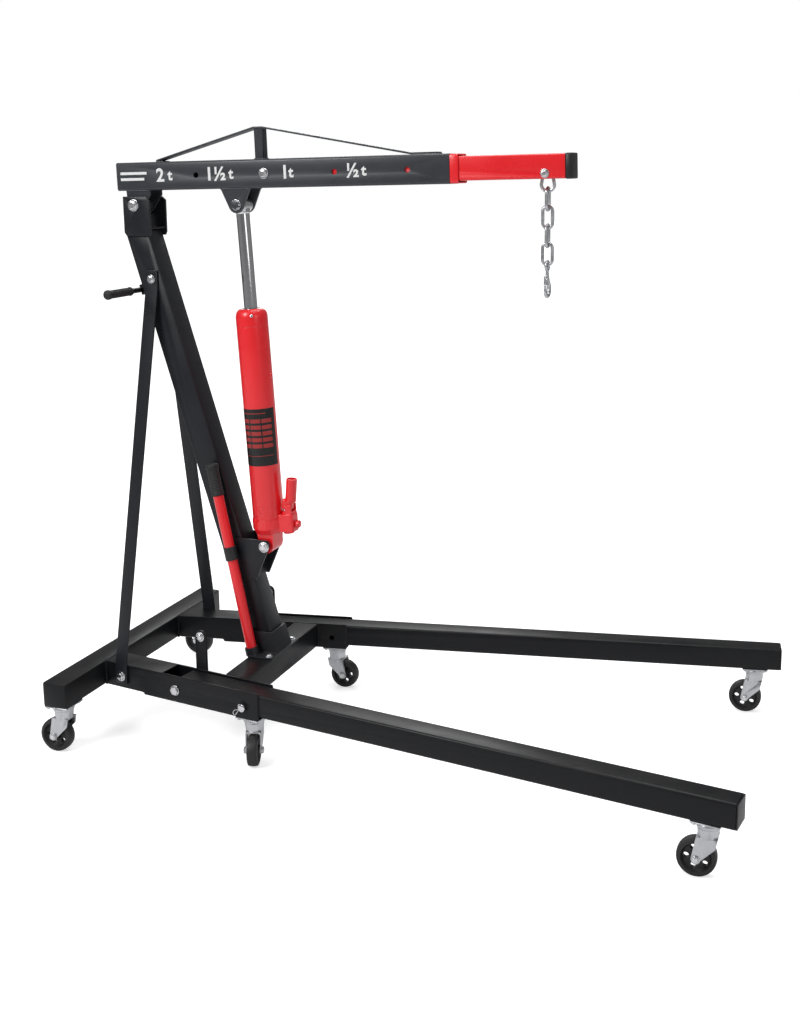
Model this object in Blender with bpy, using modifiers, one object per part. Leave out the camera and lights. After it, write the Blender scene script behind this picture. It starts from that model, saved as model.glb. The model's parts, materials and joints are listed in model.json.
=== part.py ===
"""Folding two tonne engine hoist crane, one object for each piece, in metres, +Z up.

The crane stands on the floor at z = 0, its boom and legs point along +X, and it is
symmetric about y = 0. Right is -Y and left is +Y. Lengths along the crane are stations,
measured from the rear face of the rear crossbeam.
"""
import math

import bmesh
import bpy
from mathutils import Matrix, Vector

GAP = 0.0003                # left between neighbouring pieces
ORIGIN_STATION = 0.8648     # station of the middle of the crane's length

# Base frame
BEAM_DEPTH, BEAM_HEIGHT, BEAM_LENGTH = 0.068, 0.065, 0.772
BEAM_BOTTOM = 0.132
BEAM_TOP = BEAM_BOTTOM + BEAM_HEIGHT
BEAM_WALL = 0.004
MID_BEAM_REAR, MID_BEAM_FRONT = 0.416, 0.485
PLATE_SIZE, PLATE_THICKNESS = 0.066, 0.004

# Side rails, each in a frame that starts at the rear beam's front face and splays outwards
RAIL_START_Y = 0.178
SPLAY = math.radians(9.0)
RAIL_WIDTH, RAIL_WALL = 0.068, 0.0035
RAIL_TUBE_END = 0.195       # the closed top ends here, and the open channel begins
CHANNEL_START, CHANNEL_END, CHANNEL_BOTTOM = 0.131, 0.500, 0.125
PIVOT_U, PIVOT_Z, PIVOT_RADIUS = 0.238, 0.158, 0.008
LOCK_U, LOCK_Z, LOCK_RADIUS = 0.455, 0.156, 0.007
EAR_U, EAR_WIDTH, EAR_TOP, EAR_HOLE_Z = 0.273, 0.034, 0.303, 0.286

# Legs
LEG_SIZE, LEG_WALL, LEG_END = 0.060, 0.0035, 1.707
LEG_BOTTOM, LEG_TOP = 0.133, 0.193
LEG_HEEL = 0.025
CAP_THICKNESS = 0.004

# Mast, which leans back
MAST_LEAN = math.radians(16.7)
MAST_FOOT_STATION = 0.4457
MAST_DEPTH, MAST_WIDTH, MAST_WALL = 0.067, 0.069, 0.004
MAST_TOP = 1.320
FOOT_PLATE_TOP = BEAM_TOP + GAP + 0.004
CHEEK_THICKNESS = 0.006

# Boom, in a frame at its hinge
HINGE_STATION, HINGE_Z = 0.1094, 1.381
BOOM_REST = math.radians(1.4)
BOOM_REAR, BOOM_FRONT = -0.0477, 0.8685
BOOM_WIDTH, BOOM_HEIGHT, BOOM_WALL = 0.068, 0.072, 0.004
BOOM_BOTTOM = 0.037
BOOM_MIDDLE = BOOM_BOTTOM + BOOM_HEIGHT / 2
COLLAR_LENGTH = 0.021
HOLE_FIRST, HOLE_PITCH, HOLE_COUNT, HOLE_RADIUS = 0.185, 0.192, 4, 0.0072
EXTENSION_REAR, EXTENSION_FRONT, EXTENSION_SIZE = 0.334, 1.151, 0.058
POST_X, POST_SIZE, STAY_PEAK = 0.3556, 0.025, 0.184
STAY_REAR, STAY_LAND, STAY_FRONT = 0.060, 0.764, 0.833
HOOK_BOLT_X, HOOK_BOLT_Z, HOOK_BOLT_RADIUS = 1.102, 0.057, 0.006
SLOT_REACH, SLOT_WIDTH = 0.050, 0.020     # room under the extension for the shackle's swing
BOLT_RADIUS = 0.009

# Hydraulic ram, in a frame at its lower pin
RAM_PIN_STATION, RAM_PIN_Z = 0.4541, 0.4932
RAM_TOP_X, RAM_TOP_Z = 0.2933, -0.0038    # upper pin in the boom's frame before its tilt
RAM_RADIUS, RAM_BORE, ROD_RADIUS = 0.041, 0.030, 0.017
RAM_BASE_TOP, RAM_TUBE_TOP, GLAND_TOP, GLAND_LENGTH = 0.070, 0.601, 0.627, 0.022
ROD_BOTTOM, PISTON_BOTTOM, PISTON_TOP = 0.314, 0.316, 0.332
SOCKET_X, SOCKET_Z, SOCKET_LENGTH, SOCKET_TILT = 0.066, 0.100, 0.078, math.radians(8)

# Stored pump handle, in a frame at its lower end
STORED_STATION, STORED_Y, STORED_Z = 0.4195, -0.0595, 0.208
STORED_TILT = math.atan(0.2)
STORED_RADIUS, STORED_LENGTH, GRIP_LENGTH, CLIP_HEIGHT = 0.0135, 0.430, 0.085, 0.272

# Push handle
PUSH_STATION, PUSH_Z, PUSH_REACH, PUSH_RADIUS = 0.110, 1.161, 0.180, 0.007

# Braces between the mast and the side rails
BRACE_WIDTH, BRACE_THICKNESS = 0.036, 0.005
BRACE_TOP_STATION, BRACE_TOP_Z = 0.1514, 1.1907
BRACE_FOOT_STATION, BRACE_FOOT_Z = 0.1246, 0.165

# Chain and hook
WIRE, LINK_LENGTH, LINK_WIDTH, LINK_COUNT = 0.008, 0.0595, 0.032, 4
RING_DROP, RING_HALF_WIDTH = 0.042, 0.016
LATCH_Y, LATCH_DROP = -0.0085, 0.0265

# Casters: station or rail position, wheel diameter and the direction that the wheel trails
REAR_CASTER_X, REAR_CASTER_Y = 0.034, 0.350
MID_CASTER_U, FRONT_CASTER_U = 0.462, 1.642
LARGE_WHEEL, SMALL_WHEEL, WHEEL_WIDTH, TRAIL = 0.088, 0.080, 0.028, 0.023
AXLE_RADIUS = 0.005


# ---- scene and materials

def clear_scene():
    for item in list(bpy.data.objects):
        bpy.data.objects.remove(item, do_unlink=True)


def make_material(name, colour, roughness, metallic):
    finish = bpy.data.materials.new(name)
    finish.use_nodes = True
    shader = finish.node_tree.nodes["Principled BSDF"]
    shader.inputs["Base Color"].default_value = (*colour, 1.0)
    shader.inputs["Roughness"].default_value = roughness
    shader.inputs["Metallic"].default_value = metallic
    return finish


def black_paint(name):
    return make_material(name + "_paint", (0.018, 0.019, 0.022), 0.38, 0.0)


def red_paint(name):
    return make_material(name + "_paint", (0.62, 0.012, 0.018), 0.32, 0.0)


def zinc(name):
    return make_material(name + "_zinc", (0.62, 0.63, 0.66), 0.3, 1.0)


def chrome(name):
    return make_material(name + "_chrome", (0.8, 0.8, 0.82), 0.08, 1.0)


def rubber(name):
    return make_material(name + "_rubber", (0.012, 0.012, 0.013), 0.6, 0.0)


def plastic(name):
    return make_material(name + "_plastic", (0.015, 0.015, 0.016), 0.45, 0.0)


# ---- frames

def make_frame(name, parent, place):
    frame = bpy.data.objects.new(name, None)
    frame.empty_display_size = 0.05
    bpy.context.scene.collection.objects.link(frame)
    frame.parent = parent
    frame.matrix_local = place
    bpy.context.view_layer.update()
    return frame


def at(x, y, z):
    return Matrix.Translation((x, y, z))


def turned_about(axis, angle):
    return Matrix.Rotation(angle, 4, axis)


# ---- modelling tools

def mesh_object(name, mesh):
    item = bpy.data.objects.new(name, mesh)
    bpy.context.scene.collection.objects.link(item)
    return item


def tidied(item):
    """The item's evaluated mesh, with loose caps welded and its faces turned outwards."""
    graph = bpy.context.evaluated_depsgraph_get()
    mesh = bpy.data.meshes.new_from_object(item.evaluated_get(graph))
    work = bmesh.new()
    work.from_mesh(mesh)
    bmesh.ops.remove_doubles(work, verts=work.verts, dist=1e-6)
    bmesh.ops.recalc_face_normals(work, faces=work.faces)
    work.to_mesh(mesh)
    work.free()
    return mesh


def remade(item):
    """Replace an item by a plain mesh object of its evaluated shape."""
    name = item.name
    mesh = tidied(item)
    bpy.data.objects.remove(item, do_unlink=True)
    return mesh_object(name, mesh)


PLANES = {
    "xy": Matrix.Identity(4),
    "xz": Matrix(((1, 0, 0, 0), (0, 0, -1, 0), (0, 1, 0, 0), (0, 0, 0, 1))),
    "yz": Matrix(((0, 0, 1, 0), (1, 0, 0, 0), (0, 1, 0, 0), (0, 0, 0, 1))),
}


def plate(loops, thickness, plane="xy", middle=(0, 0, 0)):
    """A flat outline, with holes as further loops, thickened equally both ways."""
    curve = bpy.data.curves.new("outline", "CURVE")
    curve.dimensions = "2D"
    curve.fill_mode = "BOTH"
    curve.extrude = thickness / 2
    for loop in loops:
        spline = curve.splines.new("POLY")
        spline.points.add(len(loop) - 1)
        for point, (a, b) in zip(spline.points, loop):
            point.co = (a, b, 0, 1)
        spline.use_cyclic_u = True
    item = bpy.data.objects.new("plate", curve)
    bpy.context.scene.collection.objects.link(item)
    bpy.context.view_layer.update()
    item = remade(item)
    item.data.transform(at(*middle) @ PLANES[plane])
    return item


def arc(centre, radius, start, end, steps):
    """Points on an arc, angles in degrees."""
    points = []
    for step in range(steps + 1):
        angle = math.radians(start + (end - start) * step / steps)
        points.append((centre[0] + radius * math.cos(angle), centre[1] + radius * math.sin(angle)))
    return points


def ring_points(radius, sides=16, centre=(0, 0)):
    return arc(centre, radius, 0, 360 * (sides - 1) / sides, sides - 1)


def rounded(width, height, radius, steps=3):
    """A rectangle about the origin with rounded corners."""
    points = []
    for sign_x, sign_y, start in ((1, 1, 0), (-1, 1, 90), (-1, -1, 180), (1, -1, 270)):
        centre = (sign_x * (width / 2 - radius), sign_y * (height / 2 - radius))
        points += arc(centre, radius, start, start + 90, steps)
    return points


def block(low, high):
    work = bmesh.new()
    bmesh.ops.create_cube(work, size=1.0)
    size = Vector(high) - Vector(low)
    middle = (Vector(high) + Vector(low)) / 2
    bmesh.ops.scale(work, vec=size, verts=work.verts)
    bmesh.ops.translate(work, vec=middle, verts=work.verts)
    mesh = bpy.data.meshes.new("block")
    work.to_mesh(mesh)
    work.free()
    return mesh_object("block", mesh)


AXIS_TURNS = {
    "x": Matrix.Rotation(math.radians(90), 4, "Y"),
    "y": Matrix.Rotation(math.radians(-90), 4, "X"),
    "z": Matrix.Identity(4),
}


def rod(radius, start, end, axis, through, sides=20, end_radius=None):
    """A cylinder or cone along an axis from start to end, through a point given across it."""
    work = bmesh.new()
    bmesh.ops.create_cone(
        work, cap_ends=True, segments=sides, radius1=radius,
        radius2=radius if end_radius is None else end_radius, depth=end - start)
    middle = list(through)
    middle["xyz".index(axis)] = (start + end) / 2
    bmesh.ops.transform(work, matrix=at(*middle) @ AXIS_TURNS[axis], verts=work.verts)
    mesh = bpy.data.meshes.new("rod")
    work.to_mesh(mesh)
    work.free()
    return mesh_object("rod", mesh)


def turned(profile, steps, place=Matrix.Identity(4)):
    """A profile of (radius, height) points turned about local Z, closed unless it starts on the axis."""
    mesh = bpy.data.meshes.new("turned")
    count = len(profile)
    edges = [(index, index + 1) for index in range(count - 1)]
    if profile[0][0] > 0:
        edges.append((count - 1, 0))
    mesh.from_pydata([(radius, 0, height) for radius, height in profile], edges, [])
    item = mesh_object("turned", mesh)
    screw = item.modifiers.new("turn", "SCREW")
    screw.steps = steps
    screw.render_steps = steps
    screw.use_merge_vertices = True
    screw.merge_threshold = 0.00001
    bpy.context.view_layer.update()
    item = remade(item)
    item.data.transform(place)
    return item


def wire(points, radius, closed=False, sides=2):
    """A round wire through points, with filled ends."""
    curve = bpy.data.curves.new("wire", "CURVE")
    curve.dimensions = "3D"
    curve.bevel_depth = radius
    curve.bevel_resolution = sides
    curve.use_fill_caps = not closed
    spline = curve.splines.new("POLY")
    spline.points.add(len(points) - 1)
    for point, place in zip(spline.points, points):
        point.co = (*place, 1)
    spline.use_cyclic_u = closed
    item = bpy.data.objects.new("wire", curve)
    bpy.context.scene.collection.objects.link(item)
    bpy.context.view_layer.update()
    return remade(item)


def combined(item, tools, operation):
    for tool in tools:
        step = item.modifiers.new("step", "BOOLEAN")
        step.object = tool
        step.operation = operation
        step.solver = "EXACT"
        bpy.context.view_layer.update()
        item = remade(item)
        bpy.data.objects.remove(tool, do_unlink=True)
    return item


def joined(item, *tools):
    return combined(item, tools, "UNION")


def cut(item, *tools):
    return combined(item, tools, "DIFFERENCE")


def softened(item, width, segments=2):
    bevel = item.modifiers.new("edges", "BEVEL")
    bevel.width = width
    bevel.segments = segments
    bevel.limit_method = "ANGLE"
    bevel.angle_limit = math.radians(50)
    bpy.context.view_layer.update()
    return remade(item)


def mirrored(item):
    """The same shape on the other side of y = 0."""
    mesh = item.data.copy()
    work = bmesh.new()
    work.from_mesh(mesh)
    bmesh.ops.scale(work, vec=(1, -1, 1), verts=work.verts)
    bmesh.ops.reverse_faces(work, faces=work.faces)
    work.to_mesh(mesh)
    work.free()
    return mesh_object("mirrored", mesh)


def finish_part(item, name, finish, parent, smooth=True):
    """Name the piece, give it its material and put it in the crane's collection."""
    item.name = name
    item.data.name = name
    item.parent = parent
    item.data.materials.clear()
    item.data.materials.append(finish(name))
    if smooth:
        item.data.shade_smooth()
        item.data.set_sharp_from_angle(angle=math.radians(35))
    for collection in list(item.users_collection):
        collection.objects.unlink(item)
    bpy.data.collections["engine_hoist_crane"].objects.link(item)
    return item


def bolt(start, end, through, radius=BOLT_RADIUS, head=0.011, height=0.007):
    """A bolt along Y with a hex head at its start and a nut at its end."""
    shank = rod(radius, start - height / 2, end + height / 2, "y", through, 16)
    near = rod(head, start - height, start, "y", through, 6)
    far = rod(head, end, end + height, "y", through, 6)
    return joined(shank, near, far)


# ---- base frame

def make_rear_crossbeam(root):
    low = (0, -BEAM_LENGTH / 2, BEAM_BOTTOM)
    high = (BEAM_DEPTH, BEAM_LENGTH / 2, BEAM_TOP)
    beam = softened(block(low, high), 0.005)
    wall = BEAM_WALL
    cavity = block([value + wall for value in low], [value - wall for value in high])
    drain = block((0.024, -0.05, BEAM_BOTTOM - 0.01), (0.044, 0.05, BEAM_BOTTOM + 0.02))
    beam = cut(beam, cavity, drain)
    half = PLATE_SIZE / 2
    for side in (-1, 1):
        middle = side * REAR_CASTER_Y
        foot = block(
            (REAR_CASTER_X - half, middle - half, BEAM_BOTTOM - PLATE_THICKNESS),
            (REAR_CASTER_X + half, middle + half, BEAM_BOTTOM + wall / 2))
        beam = joined(beam, foot)
    return finish_part(beam, "rear_crossbeam", black_paint, root)


def rail_solid():
    """The right rail in its own frame: closed tube behind, open-topped channel in front."""
    half = RAIL_WIDTH / 2
    skew = half * math.tan(SPLAY)
    plan_tube = [(GAP + skew, -half), (CHANNEL_END, -half), (CHANNEL_END, half), (GAP - skew, half)]
    tube = plate([plan_tube], BEAM_HEIGHT, "xy", (0, 0, BEAM_BOTTOM + BEAM_HEIGHT / 2))
    deep = block((CHANNEL_START, -half, CHANNEL_BOTTOM), (CHANNEL_END, half, BEAM_BOTTOM + 0.02))
    solid = softened(joined(tube, deep), 0.003, 1)
    inner = half - RAIL_WALL
    rear_hollow = block((0.02, -inner, BEAM_BOTTOM + RAIL_WALL), (0.3, inner, BEAM_TOP - RAIL_WALL))
    front_hollow = block(
        (CHANNEL_START + 0.006, -inner, CHANNEL_BOTTOM + RAIL_WALL),
        (CHANNEL_END + 0.02, inner, BEAM_TOP - RAIL_WALL))
    opening = block(
        (RAIL_TUBE_END, -inner, BEAM_TOP - 0.02),
        (CHANNEL_END + 0.02, inner, BEAM_TOP + 0.02))
    return cut(solid, rear_hollow, front_hollow, opening)


def rail_ear():
    """The upstanding bar on the rail's inner wall that holds the folded leg."""
    half = EAR_WIDTH / 2
    outline = [(EAR_U + half, BEAM_BOTTOM + 0.02)]
    outline += arc((EAR_U, EAR_TOP - half), half, 0, 180, 8)
    outline += [(EAR_U - half, BEAM_BOTTOM + 0.02)]
    hole = ring_points(LOCK_RADIUS + GAP, 12, (EAR_U, EAR_HOLE_Z))
    inner = RAIL_WIDTH / 2 - RAIL_WALL
    return plate([outline, hole], 0.006, "xz", (0, inner + 0.0035, 0))


def make_side_rail(side, name, frame):
    rail = joined(rail_solid(), rail_ear())
    half = PLATE_SIZE / 2
    foot = block(
        (MID_CASTER_U - half, -half, CHANNEL_BOTTOM - PLATE_THICKNESS),
        (MID_CASTER_U + half, half, CHANNEL_BOTTOM + RAIL_WALL / 2))
    rail = joined(rail, foot)
    width = RAIL_WIDTH
    pivot = rod(PIVOT_RADIUS + GAP, -width, width, "y", (PIVOT_U, 0, PIVOT_Z), 16)
    lock = rod(LOCK_RADIUS + GAP, -width, width, "y", (LOCK_U, 0, LOCK_Z), 16)
    rail = cut(rail, pivot, lock)
    if side > 0:
        right = rail
        rail = mirrored(right)
        bpy.data.objects.remove(right, do_unlink=True)
    return finish_part(rail, name, black_paint, frame)


def rail_inner_y(station):
    """Distance from the middle to the rail's inner face at a station."""
    along = (station - BEAM_DEPTH) * math.tan(SPLAY)
    return RAIL_START_Y + along - RAIL_WIDTH / 2 / math.cos(SPLAY)


def make_mid_crossbeam(root):
    def plan(rear, front, inset):
        rear_y = rail_inner_y(rear) - inset
        front_y = rail_inner_y(front) - inset
        return [(rear, -rear_y), (front, -front_y), (front, front_y), (rear, rear_y)]

    middle = (0, 0, (BEAM_BOTTOM + BEAM_TOP) / 2)
    beam = plate([plan(MID_BEAM_REAR, MID_BEAM_FRONT, 2 * GAP)], BEAM_HEIGHT, "xy", middle)
    beam = softened(beam, 0.004)
    wall = BEAM_WALL
    inside = plan(MID_BEAM_REAR + wall, MID_BEAM_FRONT - wall, 0.008)
    hollow = plate([inside], BEAM_HEIGHT - 2 * wall, "xy", middle)
    drain = block((0.440, -0.04, BEAM_BOTTOM - 0.01), (0.460, 0.04, BEAM_BOTTOM + 0.02))
    return finish_part(cut(beam, hollow, drain), "mid_crossbeam", black_paint, root)


# ---- mast and what is welded to it

def mast_x(height, offset):
    """Station of the mast's axis at a height, moved forwards by an offset across the mast."""
    run = math.tan(MAST_LEAN) * (height - BEAM_TOP)
    return MAST_FOOT_STATION - run + offset / math.cos(MAST_LEAN)


def leaning(low, high, half):
    """Side outline of a piece of the mast between two heights."""
    return [
        (mast_x(low, -half), low), (mast_x(low, half), low),
        (mast_x(high, half), high), (mast_x(high, -half), high)]


def make_mast(root):
    mast = plate([leaning(FOOT_PLATE_TOP + GAP, MAST_TOP, MAST_DEPTH / 2)], MAST_WIDTH, "xz")
    mast = softened(mast, 0.005)
    inside = leaning(FOOT_PLATE_TOP + 0.01, MAST_TOP + 0.05, MAST_DEPTH / 2 - MAST_WALL)
    hollow = plate([inside], MAST_WIDTH - 2 * MAST_WALL, "xz")
    brace_hole = rod(0.0065 + GAP, -0.1, 0.1, "y", (BRACE_TOP_STATION, 0, BRACE_TOP_Z), 16)
    return finish_part(cut(mast, hollow, brace_hole), "mast", black_paint, root)


def make_head_bracket(root):
    """Two cheeks for the boom hinge, joined by the plate that caps the mast."""
    rear, front = 0.079, 0.157
    outline = [
        (rear + 0.006, 1.302), (front - 0.004, 1.302), (front, 1.311),
        (front, 1.394), (front - 0.010, 1.403), (rear, 1.403), (rear, 1.311)]
    hole = ring_points(BOLT_RADIUS + GAP, 16, (HINGE_STATION, HINGE_Z))
    inner = MAST_WIDTH / 2 + GAP
    middle = inner + CHEEK_THICKNESS / 2
    near = plate([outline, hole], CHEEK_THICKNESS, "xz", (0, -middle, 0))
    far = plate([outline, hole], CHEEK_THICKNESS, "xz", (0, middle, 0))
    cap_low = MAST_TOP + GAP
    cap = block((rear + 0.004, -middle, cap_low), (front - 0.004, middle, cap_low + 0.004))
    return finish_part(joined(near, cap, far), "mast_head_bracket", black_paint, root)


def make_ram_bracket(root):
    """Two cheeks for the ram's lower pin, joined by a web on the mast's front."""
    top, low, nose = 0.511, 0.398, 0.4685
    outline = [
        (mast_x(low, -0.002), low), (mast_x(low, MAST_DEPTH / 2 + 0.006), low),
        (nose, 0.494), (nose, top - 0.006), (nose - 0.006, top), (mast_x(top, 0.016), top)]
    hole = ring_points(BOLT_RADIUS + GAP, 16, (RAM_PIN_STATION, RAM_PIN_Z))
    inner = MAST_WIDTH / 2 + GAP
    middle = inner + CHEEK_THICKNESS / 2
    near = plate([outline, hole], CHEEK_THICKNESS, "xz", (0, -middle, 0))
    far = plate([outline, hole], CHEEK_THICKNESS, "xz", (0, middle, 0))
    face = MAST_DEPTH / 2 + GAP
    web_low, web_high = low + 0.006, 0.452
    web = [
        (mast_x(web_low, face), web_low), (mast_x(web_low, face + 0.005), web_low),
        (mast_x(web_high, face + 0.005), web_high), (mast_x(web_high, face), web_high)]
    bridge = plate([web], 2 * middle, "xz")
    return finish_part(joined(near, bridge, far), "ram_bracket", black_paint, root)


def make_foot_socket(root, stored):
    """Foot plate on the mid crossbeam, a sleeve round the mast and the handle's cup."""
    low = BEAM_TOP + GAP
    base = block((0.4165, -0.080, low), (0.4885, 0.080, FOOT_PLATE_TOP))
    sleeve_top = 0.257
    outer = MAST_DEPTH / 2 + 0.006
    sleeve = plate([leaning(low + 0.001, sleeve_top, outer)], MAST_WIDTH + 0.012, "xz")
    inside = leaning(FOOT_PLATE_TOP, sleeve_top + 0.02, MAST_DEPTH / 2 + GAP)
    room = plate([inside], MAST_WIDTH + 2 * GAP, "xz")
    cup_outer, cup_inner = STORED_RADIUS + 0.0045, STORED_RADIUS + GAP
    cup = rod(cup_outer, -0.012, 0.012, "z", (0, 0, 0), 20)
    well = rod(cup_inner, -GAP, 0.03, "z", (0, 0, 0), 20)
    for item in (cup, well):
        item.data.transform(stored.matrix_local)
    socket = cut(joined(base, sleeve), room)
    socket = joined(socket, cup)
    underside = block((0.36, -0.12, low - 0.03), (0.50, 0.0, low))
    return finish_part(cut(socket, well, underside), "foot_socket", black_paint, root)


def brace_mesh():
    """A flat bar along Z whose ends lie flat on the mast and on the rail's outer face."""
    top_y = MAST_WIDTH / 2 + GAP + BRACE_THICKNESS / 2
    foot_along = (BRACE_FOOT_STATION - BEAM_DEPTH) * math.tan(SPLAY)
    foot_y = RAIL_START_Y + foot_along + RAIL_WIDTH / 2 / math.cos(SPLAY) + 2 * GAP + BRACE_THICKNESS / 2
    route = [
        (top_y, BRACE_TOP_Z + 0.024), (top_y, BRACE_TOP_Z - 0.024),
        (foot_y, BRACE_FOOT_Z + 0.042), (foot_y, BRACE_FOOT_Z - 0.020)]
    half = BRACE_THICKNESS / 2
    outline = [(y + half, z) for y, z in route]
    outline += [(y - half, z) for y, z in reversed(route)]
    bar = plate([outline], BRACE_WIDTH, "yz")
    rise = BRACE_TOP_Z - BRACE_FOOT_Z
    for vertex in bar.data.vertices:
        part = (vertex.co.z - BRACE_FOOT_Z) / rise
        if vertex.co.z < BRACE_FOOT_Z + 0.05:
            vertex.co.y += vertex.co.x * math.tan(SPLAY)
        vertex.co.x += BRACE_FOOT_STATION + (BRACE_TOP_STATION - BRACE_FOOT_STATION) * part
    hole = rod(0.0065 + GAP, 0, 0.1, "y", (BRACE_TOP_STATION, 0, BRACE_TOP_Z), 16)
    return cut(bar, hole)


def make_braces(root):
    left = brace_mesh()
    right = mirrored(left)
    finish_part(left, "rear_brace_left", black_paint, root)
    finish_part(right, "rear_brace_right", black_paint, root)
    side = MAST_WIDTH / 2 + BRACE_THICKNESS + 2 * GAP
    through = bolt(-side, side, (BRACE_TOP_STATION, 0, BRACE_TOP_Z), 0.0065, 0.0105, 0.0065)
    finish_part(through, "brace_bolt", zinc, root)


def make_push_handle(root):
    """A bar behind the mast that reaches out to the right, with a grip on its end."""
    centre = (PUSH_STATION, 0, PUSH_Z)
    saddle_width = 0.040
    bar = rod(PUSH_RADIUS, -PUSH_REACH + 0.004, saddle_width / 2 - 0.001, "y", centre, 16)
    face = -MAST_DEPTH / 2 - GAP
    saddle = [
        (PUSH_STATION - 0.004, PUSH_Z - 0.012), (mast_x(PUSH_Z - 0.014, face), PUSH_Z - 0.014),
        (mast_x(PUSH_Z + 0.014, face), PUSH_Z + 0.014), (PUSH_STATION - 0.004, PUSH_Z + 0.012)]
    bar = joined(bar, plate([saddle], saddle_width, "xz"))
    finish_part(bar, "push_handle", black_paint, root)
    inner = PUSH_RADIUS + GAP
    length = 0.105
    profile = [
        (0, length), (0.008, length), (0.0110, length - 0.003), (0.0125, length - 0.012),
        (0.0105, 0.004), (0.0098, 0), (inner, 0), (inner, length - 0.0035), (0, length - 0.0035)]
    turn = Matrix.Rotation(math.radians(90), 4, "X")
    place = at(PUSH_STATION, length - PUSH_REACH, PUSH_Z) @ turn
    finish_part(turned(profile, 20, place), "push_handle_grip", rubber, root)


def make_stored_handle(root, stored):
    """The two-part pump handle kept on the mast, and the clip that holds it."""
    lower = STORED_LENGTH
    tube = rod(STORED_RADIUS, GAP, lower, "z", (0, 0, 0), 20)
    bore = rod(STORED_RADIUS - 0.003, -0.01, lower - 0.02, "z", (0, 0, 0), 16)
    finish_part(cut(tube, bore), "pump_handle", red_paint, stored)
    radius = STORED_RADIUS
    length = GRIP_LENGTH
    grip = turned([
        (0, length), (radius, length), (radius + 0.003, length - 0.006),
        (radius + 0.003, 0.004), (radius + 0.0015, 0), (0, 0)], 20, at(0, 0, lower + GAP))
    finish_part(grip, "pump_handle_grip", rubber, stored)
    outer = STORED_RADIUS + 0.0035
    clip = rod(outer, CLIP_HEIGHT - 0.018, CLIP_HEIGHT + 0.018, "z", (0, 0, 0), 20)
    reach = -STORED_Y - MAST_WIDTH / 2 - GAP
    pad = block((-0.016, 0.004, CLIP_HEIGHT - 0.010), (0.002, reach, CLIP_HEIGHT + 0.010))
    room = rod(STORED_RADIUS + GAP, CLIP_HEIGHT - 0.03, CLIP_HEIGHT + 0.03, "z", (0, 0, 0), 20)
    finish_part(cut(joined(clip, pad), room), "handle_clip", plastic, stored)


# ---- legs

def make_leg(side, frame, rail_frame):
    """A hollow leg with a rounded heel, which turns up on its pivot bolt."""
    name = "left" if side > 0 else "right"
    rear = PIVOT_U - LEG_HEEL
    middle = ((rear + LEG_END) / 2, 0, (LEG_BOTTOM + LEG_TOP) / 2)
    width, wall = LEG_SIZE, LEG_WALL
    tube = plate(section(width, width, wall, 0.006), LEG_END - rear, "yz", middle)
    outline = [
        (LEG_END + 0.01, LEG_BOTTOM - 0.01), (LEG_END + 0.01, LEG_TOP + 0.01),
        (PIVOT_U + 0.027, LEG_TOP + 0.01)]
    outline += arc((PIVOT_U, PIVOT_Z), LEG_HEEL + GAP, 150, 264, 8)
    outline += [(PIVOT_U + 0.01, LEG_BOTTOM - 0.01)]
    leg = combined(tube, [plate([outline], 2 * width, "xz")], "INTERSECT")
    half = PLATE_SIZE / 2
    foot = block(
        (FRONT_CASTER_U - half, -width / 2 + 0.001, LEG_BOTTOM - PLATE_THICKNESS),
        (FRONT_CASTER_U + half, width / 2 - 0.001, LEG_BOTTOM + wall / 2))
    pivot = rod(PIVOT_RADIUS + GAP, -width, width, "y", (PIVOT_U, 0, PIVOT_Z), 16)
    lock = rod(LOCK_RADIUS + GAP, -width, width, "y", (LOCK_U, 0, LOCK_Z), 16)
    leg = joined(cut(leg, pivot, lock), foot)
    leg.data.transform(at(-PIVOT_U, 0, -PIVOT_Z))
    finish_part(leg, "leg_" + name, black_paint, frame)
    cap_half = width / 2 - 0.001
    cap = block((0, -cap_half, LEG_BOTTOM + 0.001), (CAP_THICKNESS, cap_half, LEG_TOP - 0.001))
    cap = softened(cap, 0.0015, 1)
    plug = block(
        (-0.012, -width / 2 + wall + 0.002, LEG_BOTTOM + wall + 0.002),
        (0.001, width / 2 - wall - 0.002, LEG_TOP - wall - 0.002))
    cap = joined(cap, plug)
    cap.data.transform(at(LEG_END + GAP - PIVOT_U, 0, -PIVOT_Z))
    finish_part(cap, "leg_cap_" + name, plastic, frame)
    side_face = RAIL_WIDTH / 2 + GAP
    bolt_item = bolt(-side_face, side_face, (PIVOT_U, 0, PIVOT_Z), PIVOT_RADIUS, 0.0125, 0.008)
    finish_part(bolt_item, "leg_pivot_bolt_" + name, zinc, rail_frame)


def make_lock_pin(side, rail_frame):
    """The pin that locks the leg level: its shank stops in the rail's outer wall."""
    name = "left" if side > 0 else "right"
    face = RAIL_WIDTH / 2 + GAP
    shank = rod(LOCK_RADIUS, LEG_SIZE / 2 + GAP, face + 0.004, "y", (LOCK_U, 0, LOCK_Z), 16)
    head = rod(0.011, face, face + 0.008, "y", (LOCK_U, 0, LOCK_Z), 16)
    tail = wire([
        (LOCK_U, face + 0.006, LOCK_Z), (LOCK_U - 0.012, face + 0.009, LOCK_Z - 0.006),
        (LOCK_U - 0.028, face + 0.008, LOCK_Z - 0.011)], 0.002)
    pin = joined(shank, head, tail)
    if side < 0:
        left = pin
        pin = mirrored(left)
        bpy.data.objects.remove(left, do_unlink=True)
    finish_part(pin, "leg_lock_pin_" + name, zinc, rail_frame)


# ---- boom

def section(width, height, wall, radius):
    """A hollow rectangular tube's outline, with its hole."""
    inner = max(radius - wall, 0.001)
    return [rounded(width, height, radius), rounded(width - 2 * wall, height - 2 * wall, inner, 2)]


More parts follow.
